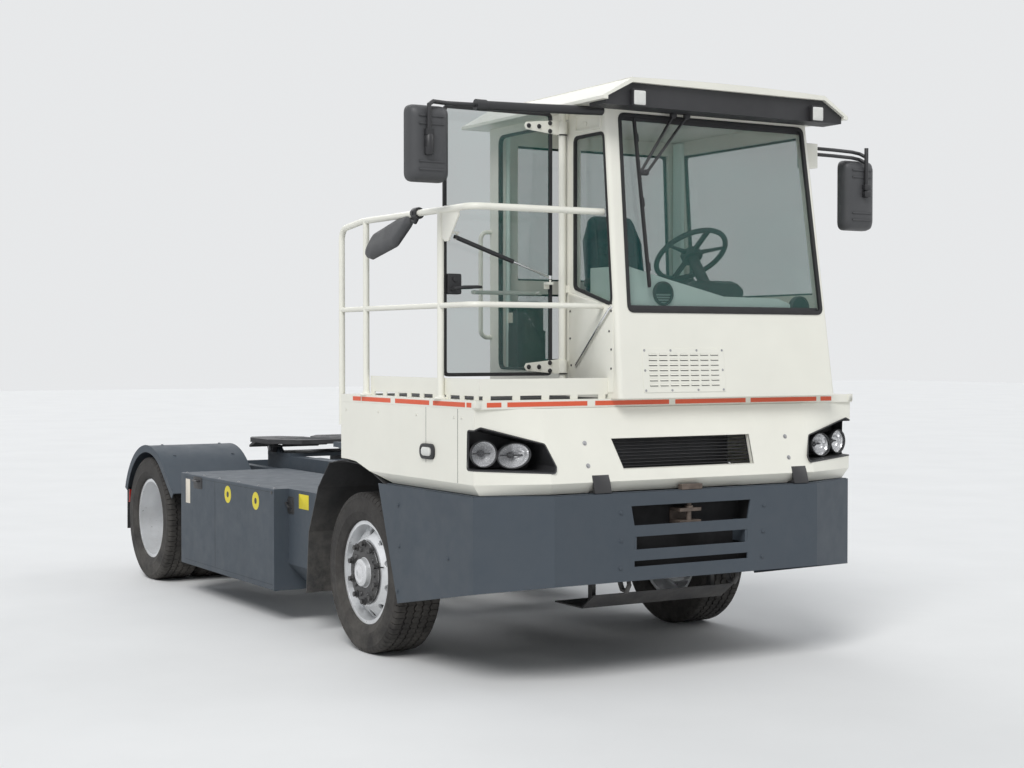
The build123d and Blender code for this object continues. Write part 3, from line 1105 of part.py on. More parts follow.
def boom():
    """Lift boom: two box arms, pivot shaft, base plate and trunnion lugs."""
    half = BOOM_ARM_WIDTH / 2
    arms = None
    for side in (1, -1):
        y0 = side * BOOM_ARM_Y - half
        y1 = side * BOOM_ARM_Y + half
        outline = [(BOOM_PIVOT_X + 60, BOOM_PIVOT_Z - 50), (BOOM_PIVOT_X + 60, BOOM_PIVOT_Z + 40),
                   (BOOM_PIVOT_X, BOOM_PIVOT_Z + 60), (FIFTH_X - BASE_REAR, BOOM_ARM_TOP),
                   (FIFTH_X - BASE_REAR, BOOM_ARM_BOTTOM + 40), (CYL_TOP_X - 250, BOOM_ARM_BOTTOM),
                   (BOOM_PIVOT_X - 200, BOOM_ARM_BOTTOM)]
        arm = slab_xz(outline, y0, y1)
        arms = arm if arms is None else arms + arm
        for edge in (-1, 1):
            y_in = side * BOOM_ARM_Y + edge * (CYL_EYE_WIDTH / 2 + 2)
            lug = [(CYL_TOP_X - 70, BOOM_ARM_BOTTOM + 4), (CYL_TOP_X + 70, BOOM_ARM_BOTTOM + 4),
                   (CYL_TOP_X + 30, CYL_TOP_Z - 34), (CYL_TOP_X - 30, CYL_TOP_Z - 34)]
            arms += slab_xz(lug, y_in, y_in + edge * CYL_LUG)
        pin_half = CYL_EYE_WIDTH / 2 + 2 + CYL_LUG
        y_mid = side * BOOM_ARM_Y
        arms += cyl_y(CYL_TOP_X, CYL_TOP_Z, y_mid - pin_half, y_mid + pin_half, CYL_PIN_R)
    pin_end = RAIL_OUTER_Y - RAIL_FLANGE + 40
    arms += cyl_y(BOOM_PIVOT_X, BOOM_PIVOT_Z, -pin_end, pin_end, BOOM_PIN_R)
    arms += cyl_y(BOOM_PIVOT_X, BOOM_PIVOT_Z, -BOOM_ARM_Y, BOOM_ARM_Y, BOOM_PIN_R + 14)
    arms += box(FIFTH_X - BASE_REAR, FIFTH_X + BASE_FRONT, -BASE_HALF_WIDTH, BASE_HALF_WIDTH,
                BOOM_ARM_TOP - 1, BOOM_ARM_TOP + BASE_PLATE)
    arms += box(FIFTH_X + 420, FIFTH_X + 500, -BOOM_ARM_Y, BOOM_ARM_Y, 830, 910)
    for side in (1, -1):
        lug = [(FIFTH_X - 90, BOOM_ARM_TOP + BASE_PLATE - 1), (FIFTH_X + 90, BOOM_ARM_TOP + BASE_PLATE - 1),
               (FIFTH_X + 28, FIFTH_PIVOT_Z + 20), (FIFTH_X - 28, FIFTH_PIVOT_Z + 20)]
        arms += slab_xz(lug, side * 276, side * 312)
        arms += cyl_y(FIFTH_X, FIFTH_PIVOT_Z, side * 276, side * 362, FIFTH_PIN_R)
    put("lift_boom", arms)


def fifth_wheel():
    """Coupling plate with kingpin throat, rear ramps, skirt ribs and pivot ears."""
    w = FIFTH_HALF_WIDTH
    xf = FIFTH_X + FIFTH_FRONT
    xr = FIFTH_X - FIFTH_REAR
    low = FIFTH_TOP - FIFTH_PLATE
    plate = slab_xy([(xr, -w + 60), (xr + 120, -w), (xf - 220, -w), (xf, -w + 190), (xf, w - 190), (xf - 220, w),
                     (xr + 120, w), (xr, w - 60)], low, FIFTH_TOP)
    throat_mouth = 170
    plate -= cyl_z(FIFTH_X, 0, low - 10, FIFTH_TOP + 10, THROAT_R)
    plate -= slab_xy([(FIFTH_X, -THROAT_R), (FIFTH_X, THROAT_R), (FIFTH_X - 120, THROAT_R + 4),
                      (xr - 10, throat_mouth), (xr - 10, -throat_mouth), (FIFTH_X - 120, -THROAT_R - 4)],
                     low - 10, FIFTH_TOP + 10)
    for side in (1, -1):
        ramp = [(xr + 2, FIFTH_TOP - 2), (xr + 2, low), (FIFTH_X - FIFTH_RAMP, 968), (FIFTH_X - FIFTH_RAMP - 6, 984)]
        y0 = side * 176
        y1 = side * 336
        plate += slab_xz(ramp, y0, y1)
        ear = [(FIFTH_X - 80, low + 2), (FIFTH_X + 80, low + 2), (FIFTH_X + 34, FIFTH_PIVOT_Z - 30),
               (FIFTH_X - 34, FIFTH_PIVOT_Z - 30)]
        ear_solid = slab_xz(ear, side * 322, side * 360)
        ear_solid -= cyl_y(FIFTH_X, FIFTH_PIVOT_Z, -500, 500, FIFTH_PIN_R + FIT)
        plate += ear_solid
    put("fifth_wheel", plate)


def lift_cylinders():
    """Lift cylinder barrels and rods, one pair on each side."""
    p = Vector(CYL_BASE_X, 0, CYL_BASE_Z)
    q = Vector(CYL_TOP_X, 0, CYL_TOP_Z)
    along = (q - p).normalized()
    for label, side in (("left", 1), ("right", -1)):
        y = side * BOOM_ARM_Y
        half = CYL_EYE_WIDTH / 2
        shift = Vector(0, y, 0)
        start = p + along * CYL_NECK + shift
        end = p + along * (CYL_NECK + CYL_BARREL_LENGTH) + shift
        barrel = rod(tuple(start), tuple(end), CYL_R)
        barrel += rod(tuple(p + along * 20 + shift), tuple(start + along * 4), CYL_EYE_WIDTH / 2)
        barrel += cyl_y(CYL_BASE_X, CYL_BASE_Z, y - half, y + half, CYL_EYE_R)
        barrel -= rod(tuple(p + along * 110 + shift), tuple(end + along * 2), CYL_ROD_R + 0.1)
        barrel -= cyl_y(CYL_BASE_X, CYL_BASE_Z, y - half - 20, y + half + 20, CYL_PIN_R + 0.1)
        put(f"lift_barrel_{label}", barrel)
        inner = p + along * 130 + shift
        outer = q - along * 30 + shift
        piston = rod(tuple(inner), tuple(outer), CYL_ROD_R)
        piston += cyl_y(CYL_TOP_X, CYL_TOP_Z, y - half, y + half, CYL_EYE_R)
        piston -= cyl_y(CYL_TOP_X, CYL_TOP_Z, y - half - 20, y + half + 20, CYL_PIN_R + CYL_ROD_EYE_CLEAR)
        put(f"lift_rod_{label}", piston)


wheels()
steering()
front_axle()
rear_axle()
rails_and_members()
tow_couplings()
bumper()
under_guard()
front_body()
lamps()
platform()
handrail()
cab()
glazing()
roof()
interior()
grab_and_wiper()
mirrors()
side_boxes()
mudguards()
fenders()
engine()
door()
door_strut()
boom()
fifth_wheel()
lift_cylinders()

os.makedirs("parts", exist_ok=True)
for name, solids in NODES.items():
    shape = solids[0] if len(solids) == 1 else Compound(children=solids)
    export_step(shape, f"parts/{name}.step")
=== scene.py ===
import json
import math

import bmesh
import bpy
from bpy.props import FloatProperty, FloatVectorProperty, IntProperty, PointerProperty
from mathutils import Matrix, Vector


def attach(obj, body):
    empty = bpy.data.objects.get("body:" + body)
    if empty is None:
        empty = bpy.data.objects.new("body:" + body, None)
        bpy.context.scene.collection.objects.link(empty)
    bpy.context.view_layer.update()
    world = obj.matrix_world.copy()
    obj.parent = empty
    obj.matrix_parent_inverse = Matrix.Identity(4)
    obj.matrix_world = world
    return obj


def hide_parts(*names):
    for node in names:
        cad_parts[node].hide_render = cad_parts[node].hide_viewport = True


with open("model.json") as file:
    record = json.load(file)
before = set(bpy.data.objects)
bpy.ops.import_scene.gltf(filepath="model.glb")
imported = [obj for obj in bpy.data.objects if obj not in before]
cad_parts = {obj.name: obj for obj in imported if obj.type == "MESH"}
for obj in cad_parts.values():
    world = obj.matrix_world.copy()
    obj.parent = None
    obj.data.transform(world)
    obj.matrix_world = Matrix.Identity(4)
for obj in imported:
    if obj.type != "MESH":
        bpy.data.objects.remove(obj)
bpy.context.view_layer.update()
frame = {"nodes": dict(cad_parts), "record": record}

bl_info = {
    "name": "Terminal tractor finish",
    "version": (1, 0, 0),
    "blender": (4, 5, 0),
    "location": "3D View > Sidebar > Tractor",
    "description": "Paint, tyres, glass, lamps and trim of a terminal tractor",
    "category": "Object",
}

# Places that several pieces share, in metres. X forward, Y left, Z up.
FRONT_AXLE, REAR_AXLE, AXLE_Z = 1.333, -2.347, 0.463
HALF_WIDTH = 1.25
BODY = "tractor"
SIDES = (("left", 1), ("right", -1))
FRONT_TYRE_Y, REAR_OUTER_Y, TWIN_SPACING = 1.072, 1.098, 0.33
REAR_DISC_Y = REAR_OUTER_Y - TWIN_SPACING / 2
BODY_LOW, DECK_LOW, DECK_TOP, CAB_TOP = 1.062, 1.445, 1.49, 3.045
BUMPER_FRONT_X, BUMPER_SIDE_X, BUMPER_FLAT_Y = 2.87, 2.698, 0.869
CAB_RIGHT_Y, CAB_REAR_X = -0.43, 1.433
CAB_RAKE, CAB_LEAN, BODY_RAKE = 0.14, 0.103, 0.11
DOOR_AXIS = (2.303, -0.465)
# Rises of a thin plate that lies on a wall, with the growth of its outline at each.
THIN_PLATE = ((-0.001, 0.0), (0.0015, 0.0), (0.0025, -0.0012))


def cab_front(z):
    """X of the raked cab front at a height."""
    return 2.815 - CAB_RAKE * (z - DECK_TOP) / (CAB_TOP - DECK_TOP)


def cab_left(z):
    """Y of the leaning left cab wall at a height."""
    return 1.05 - CAB_LEAN * (z - DECK_TOP) / (CAB_TOP - DECK_TOP)


def body_front(z):
    """X of the white body's raked front at a height."""
    return 2.845 - BODY_RAKE * (z - BODY_LOW) / (DECK_LOW - BODY_LOW)


def body_chamfer(y, z):
    """X of the white body's slanted corner face at a place across."""
    corner = 2.703 + 0.01 * (z - BODY_LOW) / (DECK_LOW - BODY_LOW)
    share = (HALF_WIDTH - abs(y)) / (HALF_WIDTH - BUMPER_FLAT_Y)
    return corner + (body_front(z) - corner) * share


# Places of an outline's (u, v) points: on an axis plane at w, or on a wall and raised by w.


def along_x(u, v, w):
    return (w, u, v)


def along_y(u, v, w):
    return (u, w, v)


def along_z(u, v, w):
    return (u, v, w)


def on_cab_front(u, v, w):
    return (cab_front(v) + w, u, v)


def on_body_front(u, v, w):
    return (body_front(v) + w, u, v)


def on_right_wall(u, v, w):
    return (u, CAB_RIGHT_Y - w, v)


def on_left_wall(u, v, w):
    return (u, cab_left(v) + w, v)


def on_rear_wall(u, v, w):
    return (CAB_REAR_X - w, u, v)


# Shader and geometry node helpers

# Pale brown that lower parts turn towards: a settled dusting, and painted sunlight on the lower part of the front
# mudguard liner.
DUST_AND_PAINTED_LIGHT_COLOUR = (0.27, 0.25, 0.22)
WEAR_REACH, RELIEF_DEPTH, GLOSS_SPREAD = 0.006, 0.002, 0.07


def add_node(tree, kind, inputs=None, output=0, **settings):
    """New node with its input values and settings; gives one of its outputs."""
    made = tree.nodes.new(kind)
    for key, value in settings.items():
        setattr(made, key, value)
    for key, value in (inputs or {}).items():
        if isinstance(value, bpy.types.NodeSocket):
            tree.links.new(value, made.inputs[key])
        else:
            made.inputs[key].default_value = value
    return made.outputs[output] if len(made.outputs) else None


def calc(tree, a, b, operation="MULTIPLY"):
    """Sum, product or the like of two values."""
    return add_node(tree, "ShaderNodeMath", {0: a, 1: b}, operation=operation)


def noise(tree, coord, scale, detail=3.0, rough=0.55):
    """Noise value on object coordinates."""
    inputs = {"Vector": coord, "Scale": scale, "Detail": detail, "Roughness": rough}
    return add_node(tree, "ShaderNodeTexNoise", inputs, "Fac")


def remap(tree, value, low, high, to_low=0.0, to_high=1.0):
    """Clamped change of range."""
    inputs = {"Value": value, "From Min": low, "From Max": high, "To Min": to_low, "To Max": to_high}
    return add_node(tree, "ShaderNodeMapRange", inputs, "Result", clamp=True)


def mix_colour(tree, factor, a, b):
    """Mix of two colours or colour sockets."""
    a, b = (value if isinstance(value, bpy.types.NodeSocket) else (*value, 1.0) for value in (a, b))
    return add_node(tree, "ShaderNodeMix", {0: factor, 6: a, 7: b}, 2, data_type="RGBA", clamp_factor=True)


def shade(colour, factor):
    """Colour made darker or lighter."""
    return tuple(min(1.0, channel * factor) for channel in colour[:3])


def clear_film(tree, place, colour, alpha, rough=0.02, ior=1.75):
    """Shader inputs of a thin see-through pane with a faint film on it."""
    film = remap(tree, noise(tree, place, 3.0, 5.0, 0.65), 0.3, 0.8)
    return {"Base Color": mix_colour(tree, film, shade(colour, 0.8), shade(colour, 1.25)), "IOR": ior,
            "Roughness": remap(tree, film, 0.0, 1.0, rough, rough + 0.05), "Alpha": alpha}


def surface(tree, place, colour, rough=0.45, metal=0.0, coat=0.0, spread=0.05, cloud=1.8, grain=260.0, bump=0.03,
            dust_and_painted_light=0.0, dust_and_painted_light_top=1.2, edge=0.0, sheen=0.0, bevel=0.0):
    """Shader inputs of clouded colour, uneven gloss, fine relief, a settled dusting low down (on the mudguard liner
    painted sunlight) and rubbed edges.
    """
    clouds = remap(tree, noise(tree, place, cloud), 0.3, 0.7)
    tint = mix_colour(tree, clouds, shade(colour, 1 - spread), shade(colour, 1 + spread))
    # Lower parts tinted pale brown below a height, in patches: a settled dusting on most finishes, painted sunlight on
    # the lower part of the front mudguards.
    if dust_and_painted_light:
        low = remap(tree, add_node(tree, "ShaderNodeSeparateXYZ", {0: place}, 2), 0.0, dust_and_painted_light_top, 1.0, 0.0)
        patch = remap(tree, noise(tree, place, 5.0, 6.0, 0.7), 0.35, 0.75)
        tint = mix_colour(tree, calc(tree, calc(tree, low, patch), dust_and_painted_light), tint, DUST_AND_PAINTED_LIGHT_COLOUR)
    if edge:
        round_normal = add_node(tree, "ShaderNodeBevel", {"Radius": WEAR_REACH}, samples=4)
        flat = add_node(tree, "ShaderNodeNewGeometry", output="Normal")
        dot = add_node(tree, "ShaderNodeVectorMath", {0: round_normal, 1: flat}, "Value", operation="DOT_PRODUCT")
        worn = calc(tree, remap(tree, dot, 0.97, 0.8), remap(tree, noise(tree, place, 40.0, 4.0), 0.42, 0.62))
        tint = mix_colour(tree, calc(tree, worn, edge), tint, shade(colour, 1.9))
    least, most = max(0.02, rough - GLOSS_SPREAD), min(1.0, rough + GLOSS_SPREAD)
    gloss = remap(tree, noise(tree, place, cloud * 6, 4.0), 0.3, 0.7, least, most)
    relief = {"Strength": bump, "Distance": RELIEF_DEPTH, "Height": noise(tree, place, grain, 2.0)}
    if bevel:
        relief["Normal"] = add_node(tree, "ShaderNodeBevel", {"Radius": bevel}, samples=4)
    return {"Base Color": tint, "Roughness": gloss, "Normal": add_node(tree, "ShaderNodeBump", relief),
            "Metallic": metal, "Coat Weight": coat, "Sheen Weight": sheen}


# Finishes: a colour, or the name of one that a user can change, and the values of its surface or film
FINISHES = {
    "white_paint": ("cab_white", dict(rough=0.38, coat=0.25, spread=0.03, dust_and_painted_light=0.12, dust_and_painted_light_top=1.9, bump=0.02,
                                      bevel=0.004)),
    "chassis_paint": ("chassis_grey", dict(rough=0.62, spread=0.035, dust_and_painted_light=0.07, dust_and_painted_light_top=1.3, bump=0.05, bevel=0.004,
                                           edge=0.35)),
    "stripe_paint": ("stripe", dict(rough=0.5, spread=0.06)),
    "black_plastic": ((0.026, 0.026, 0.028), dict(rough=0.55, spread=0.2, grain=900.0, bump=0.15, dust_and_painted_light=0.3)),
    "black_metal": ((0.025, 0.025, 0.027), dict(rough=0.42, spread=0.15, bump=0.05, dust_and_painted_light=0.3, bevel=0.003)),
    "black_rubber": ((0.018, 0.018, 0.019), dict(rough=0.72, spread=0.15, grain=600.0, bump=0.1)),
    "mirror_plastic": ((0.062, 0.063, 0.066), dict(rough=0.5, spread=0.12, grain=900.0, bump=0.12, dust_and_painted_light=0.3)),
    # Front mudguards: black above, strongly lighter towards the bottom as painted sunlight on the lower part, in dusty
    # patches.
    "arch_liner": ((0.034, 0.034, 0.035), dict(rough=0.6, spread=0.25, cloud=6.0, bump=0.15, dust_and_painted_light=1.0, dust_and_painted_light_top=1.0)),
    # Near-black of the bumper slot lining: painted shade.
    "dark_lining": ((0.008, 0.008, 0.009), dict(rough=0.85, spread=0.2)),
    "deck_grip": ((0.022, 0.022, 0.023), dict(rough=0.8, spread=0.2, grain=500.0, bump=0.5, dust_and_painted_light=0.2)),
    "dark_iron": ((0.055, 0.055, 0.058), dict(rough=0.62, metal=0.3, spread=0.25, cloud=7.0, bump=0.2, dust_and_painted_light=0.5,
                                              bevel=0.004)),
    "engine_metal": ((0.12, 0.125, 0.13), dict(rough=0.6, metal=0.5, spread=0.3, cloud=5.0, bump=0.25, dust_and_painted_light=0.5)),
    "rim_silver": ((0.76, 0.77, 0.78), dict(rough=0.34, metal=0.5, spread=0.07, cloud=6.0, bump=0.06, dust_and_painted_light=0.35,
                                            dust_and_painted_light_top=1.0, bevel=0.003)),
    "chrome": ((0.78, 0.78, 0.79), dict(rough=0.12, metal=1.0, spread=0.04, bump=0.01)),
    "reflector": ((0.9, 0.9, 0.91), dict(rough=0.24, metal=0.55, spread=0.06, cloud=35.0, bump=0.02)),
    "zinc": ((0.42, 0.42, 0.43), dict(rough=0.4, metal=0.9, spread=0.12, cloud=30.0)),
    "tyre_rubber": ("tyre", dict(rough=0.82, spread=0.25, cloud=9.0, grain=420.0, bump=0.18, dust_and_painted_light=0.38, dust_and_painted_light_top=1.1)),
    "window_glass": ("glass", dict(alpha=0.27)),
    "lamp_glass": ((0.3, 0.31, 0.32), dict(alpha=0.05, ior=1.45)),
    "seat_fabric": ((0.045, 0.055, 0.085), dict(rough=0.9, spread=0.2, cloud=60.0, grain=1400.0, bump=0.5, sheen=0.3)),
    "interior_plastic": ("dash", dict(rough=0.6, grain=700.0, bump=0.12)),
    "tow_brown": ((0.105, 0.08, 0.064), dict(rough=0.7, spread=0.35, cloud=20.0, bump=0.3, bevel=0.002)),
    "tail_lens": ((0.42, 0.02, 0.015), dict(rough=0.2, coat=0.6, spread=0.08, grain=120.0, bump=0.1)),
    "amber_lens": ((0.75, 0.22, 0.02), dict(rough=0.2, coat=0.6, spread=0.06, grain=120.0, bump=0.1)),
    "lamp_white": ((0.7, 0.7, 0.66), dict(rough=0.25, coat=0.6, spread=0.06, grain=180.0, bump=0.1)),
    "yellow_film": ((0.72, 0.6, 0.03), dict(rough=0.5, spread=0.08)),
    "pale_label": ((0.72, 0.66, 0.56), dict(rough=0.5, spread=0.06)),
    "pale_floor": ((0.8, 0.8, 0.79), dict(rough=0.8, spread=0.02, cloud=0.8, grain=60.0, bump=0.04)),
}


def finish(name):
    """Material of a finish, made on its first use."""
    made = bpy.data.materials.get(f"{name}_finish")
    if made:
        return made
    colour, values = FINISHES[name]
    if isinstance(colour, str):
        colour = getattr(bpy.context.scene.tractor_look, colour)
    made = bpy.data.materials.new(f"{name}_finish")
    made.use_nodes = True
    tree = made.node_tree
    tree.nodes.clear()
    place = add_node(tree, "ShaderNodeTexCoord", output="Object")
    inputs = (clear_film if "alpha" in values else surface)(tree, place, colour, **values)
    add_node(tree, "ShaderNodeOutputMaterial", {0: add_node(tree, "ShaderNodeBsdfPrincipled", inputs)})
    return made


# Outlines


def rounded(outline, radius, steps=4):
    """Outline with its corners rounded."""
    made = []
    for i, here in enumerate(outline):
        here = Vector(here)
        sides = [Vector(outline[j]) - here for j in (i - 1, (i + 1) % len(outline))]
        a, b = (side.normalized() for side in sides)
        cut = min(radius / math.tan(a.angle(b) / 2), *(side.length * 0.49 for side in sides))
        start, end = here + a * cut, here + b * cut
        for k in range(steps + 1):
            t = k / steps
            made.append(tuple(start * (1 - t) ** 2 + here * 2 * t * (1 - t) + end * t * t))
    return made


def rectangle(u0, u1, v0, v1):
    """Four corners of a rectangle."""
    return [(u0, v0), (u1, v0), (u1, v1), (u0, v1)]


def offset_outline(outline, distance):
    """Outline moved outwards by a distance."""
    count = len(outline)
    area = sum(outline[i - 1][0] * outline[i][1] - outline[i][0] * outline[i - 1][1] for i in range(count))
    sign = 1 if area > 0 else -1
    made = []
    for i in range(count):
        here = Vector(outline[i])
        a = (here - Vector(outline[i - 1])).normalized()
        b = (Vector(outline[(i + 1) % count]) - here).normalized()
        na, nb = Vector((a.y, -a.x)) * sign, Vector((b.y, -b.x)) * sign
        bisector = (na + nb).normalized()
        made.append(tuple(here + bisector * distance / max(0.35, bisector.dot(na))))
    return made


def inset(outline, distance):
    """Outline pulled towards its middle by a distance, which may be large."""
    us, vs = zip(*outline)
    cu, cv = (min(us) + max(us)) / 2, (min(vs) + max(vs)) / 2
    fu, fv = (1 - distance / (side / 2) for side in (max(us) - min(us), max(vs) - min(vs)))
    return [(cu + (u - cu) * fu, cv + (v - cv) * fv) for u, v in outline]


def outward(side, profile, start=0.0):
    """Lathe profile with its offsets counted from a start and turned to a side."""
    return [(side * (start + offset), radius) for offset, radius in profile]


# Meshes

BOX_FACES = ((0, 1, 3, 2), (4, 6, 7, 5), (0, 4, 5, 1), (2, 3, 7, 6), (0, 2, 6, 4), (1, 5, 7, 3))
SMOOTH_ANGLE = 35.0


def link_object(name, data, look=None):
    """Object of a mesh, lamp or camera, a mesh with its finish."""
    if look:
        data.materials.append(finish(look))
    made = bpy.data.objects.new(name, data)
    bpy.context.scene.collection.objects.link(made)
    return made


def smooth_below(made, degrees=SMOOTH_ANGLE):
    """Smooth shading with edges sharp above an angle."""
    made.data.shade_smooth()
    made.data.set_sharp_from_angle(angle=math.radians(degrees))


def apply_modifiers(made):
    """Turn the evaluated object into its plain mesh."""
    bpy.context.view_layer.update()
    graph = bpy.context.evaluated_depsgraph_get()
    mesh = bpy.data.meshes.new_from_object(made.evaluated_get(graph), depsgraph=graph)
    made.modifiers.clear()
    old = made.data
    made.data = mesh
    bpy.data.meshes.remove(old)
    mesh.name = made.name


class Form:
    """Mesh under construction; each part adds its vertices and faces."""

    def __init__(self):
        self.bm = bmesh.new()

    def faces(self, points, faces):
        verts = [self.bm.verts.new(p) for p in points]
        for face in faces:
            self.bm.faces.new([verts[i] for i in face])

    def box(self, x0, x1, y0, y1, z0, z1):
        self.faces([(x, y, z) for x in (x0, x1) for y in (y0, y1) for z in (z0, z1)], BOX_FACES)

    def loft(self, rings, caps=True, closed=False):
        """Skin between rings of as many points each; closed joins the last to the first."""
        count = len(rings[0])
        faces = []
        for r in range(len(rings) if closed else len(rings) - 1):
            a, b = r * count, (r + 1) % len(rings) * count
            faces += [(a + i, a + (i + 1) % count, b + (i + 1) % count, b + i) for i in range(count)]
        if caps and not closed:
            faces.append(tuple(range(count))[::-1])
            faces.append(tuple((len(rings) - 1) * count + i for i in range(count)))
        self.faces([p for ring in rings for p in ring], faces)

    def stack(self, outline, place, steps, change=inset):
        """Skin of an outline at (w, change of size) steps; place turns (u, v, w) into a point."""
        self.loft([[place(u, v, w) for u, v in change(outline, by)] for w, by in steps])

    def prism(self, outline, low, high, place):
        """Outline raised from low to high."""
        self.loft([[place(u, v, w) for u, v in outline] for w in (low, high)])

    def frame(self, outer, inner, place, section):
        """Band between two outlines; the section has (share of the way to the inner one, w) pairs."""
        self.loft([[place(a + (c - a) * share, b + (d - b) * share, w) for share, w in section]
                   for (a, b), (c, d) in zip(outer, inner)], closed=True)

    def lathe(self, profile, centre, segments=48, axis="y"):
        """Closed profile of (offset, radius) pairs turned round an axis through centre."""
        rings = []
        for i in range(segments):
            a = 2 * math.pi * i / segments
            ring = []
            for offset, radius in profile:
                local = [radius * math.cos(a), radius * math.sin(a)]
                local.insert("xyz".index(axis), offset)
                ring.append([c + d for c, d in zip(centre, local)])
            rings.append(ring)
        self.loft(rings, closed=True)

    def pipe(self, path, radius, segments=12):
        """Round tube along a path, of one radius or of one at each point."""
        path = [Vector(p) for p in path]
        rings = []
        up = None
        for i, point in enumerate(path):
            along = (path[min(i + 1, len(path) - 1)] - path[max(i - 1, 0)]).normalized()
            if up is None:
                up = along.orthogonal().normalized()
            up = (up - along * up.dot(along)).normalized()
            side = along.cross(up)
            size = radius[i] if isinstance(radius, list) else radius
            rings.append([point + (up * math.cos(t) + side * math.sin(t)) * size
                          for t in (2 * math.pi * k / segments for k in range(segments))])
        self.loft(rings)

    def object(self, name, look, smooth=SMOOTH_ANGLE, bevel=0.0):
        """Close the form: merge doubles, point faces out, name it, give it its finish and bevel it."""
        bmesh.ops.remove_doubles(self.bm, verts=self.bm.verts, dist=1e-6)
        bmesh.ops.recalc_face_normals(self.bm, faces=self.bm.faces)
        mesh = bpy.data.meshes.new(name)
        self.bm.to_mesh(mesh)
        self.bm.free()
        made = link_object(name, mesh, look)
        if bevel:
            rounding = made.modifiers.new("edges", "BEVEL")
            rounding.width = bevel
            rounding.segments = 2
            rounding.limit_method = "ANGLE"
            rounding.angle_limit = math.radians(40)
            apply_modifiers(made)
        if smooth:
            smooth_below(made, smooth)
        return made


def gasket(form, outline, place, width, low, high, radius=0.032):
    """Rubber frame round an outline."""
    middle = rounded(outline, radius, 5)
    outer, inner = (offset_outline(middle, width * share) for share in (0.5, -0.5))
    form.frame(outer, inner, place, ((0, low), (0, high * 0.6), (0.5, high), (1, high * 0.6), (1, low)))


# Repeats made with geometry nodes

HEAD_LIFT, WASHER_DEPTH, WASHER_SIDES = 0.62, 0.4, 20
MOST_TURN, TURN_SEED = 1.05, 7
WELD = 0.0001


def screw_heads(tree, given):
    """Screw heads with washers, standing on points along their facing attribute."""
    head = add_node(tree, "GeometryNodeMeshCylinder", {
        "Vertices": given["Sides"], "Radius": given["Head radius"], "Depth": given["Head height"]})
    lift = add_node(tree, "ShaderNodeCombineXYZ", {"Z": calc(tree, given["Head height"], HEAD_LIFT)})
    head = add_node(tree, "GeometryNodeTransform", {"Geometry": head, "Translation": lift})
    washer = add_node(tree, "GeometryNodeMeshCylinder", {
        "Vertices": WASHER_SIDES, "Radius": calc(tree, given["Head radius"], given["Washer"]),
        "Depth": calc(tree, given["Head height"], WASHER_DEPTH)})
    both = add_node(tree, "GeometryNodeJoinGeometry")
    for piece in (head, washer):
        tree.links.new(piece, both.node.inputs[0])
    points = add_node(tree, "GeometryNodeMeshToPoints", {"Mesh": given[0]})
    facing = add_node(tree, "GeometryNodeInputNamedAttribute", {"Name": "facing"}, data_type="FLOAT_VECTOR")
    turn = add_node(tree, "FunctionNodeAlignRotationToVector", {"Vector": facing}, axis="Z")
    spin = add_node(tree, "FunctionNodeRandomValue", {2: 0.0, 3: MOST_TURN, "Seed": TURN_SEED}, 1,
                    data_type="FLOAT")
    about = add_node(tree, "FunctionNodeEulerToRotation", {0: add_node(tree, "ShaderNodeCombineXYZ", {"Z": spin})})
    turn = add_node(tree, "FunctionNodeRotateRotation", {0: turn, 1: about}, rotation_space="LOCAL")
    return add_node(tree, "GeometryNodeInstanceOnPoints", {"Points": points, "Instance": both, "Rotation": turn})


def tyre_ring(tree, given):
    """A pitch of tyre repeated round its axle and welded, then repeated across."""
    points = add_node(tree, "GeometryNodePoints", {"Count": given["Pitches"]})
    share = calc(tree, add_node(tree, "GeometryNodeInputIndex"), given["Pitches"], "DIVIDE")
    euler = add_node(tree, "ShaderNodeCombineXYZ", {"Y": calc(tree, share, -2 * math.pi)})
    turn = add_node(tree, "FunctionNodeEulerToRotation", {0: euler})
    ring = add_node(tree, "GeometryNodeInstanceOnPoints", {"Points": points, "Instance": given[0], "Rotation": turn})
    ring = add_node(tree, "GeometryNodeRealizeInstances", {0: ring})
    ring = add_node(tree, "GeometryNodeMergeByDistance", {"Geometry": ring, "Distance": WELD})
    line = add_node(tree, "GeometryNodeMeshLine", {
        "Count": given["Tyres"], "Start Location": given["Centre"], "Offset": given["Spacing"]})
    return add_node(tree, "GeometryNodeInstanceOnPoints", {"Points": line, "Instance": ring})


def cell_grid(tree, given):
    """A cell repeated in rows and columns over a flat or raked panel."""
    row = add_node(tree, "GeometryNodeMeshLine", {
        "Count": given["Columns"], "Start Location": (0, 0, 0), "Offset": given["Column step"]})
    cells = add_node(tree, "GeometryNodeInstanceOnPoints", {"Points": row, "Instance": given[0]})
    column = add_node(tree, "GeometryNodeMeshLine", {
        "Count": given["Rows"], "Start Location": given["Start"], "Offset": given["Row step"]})
    return add_node(tree, "GeometryNodeInstanceOnPoints", {"Points": column, "Instance": cells})


REPEATS = {
    # node group: what it makes, and the kinds of its own inputs
    "screws": (screw_heads, {"Head radius": "Float", "Head height": "Float", "Sides": "Int", "Washer": "Float"}),
    "tyre_ring": (tyre_ring, {"Pitches": "Int", "Tyres": "Int", "Centre": "Vector", "Spacing": "Vector"}),
    "cell_grid": (cell_grid, {"Columns": "Int", "Rows": "Int", "Start": "Vector", "Column step": "Vector",
                              "Row step": "Vector"}),
}


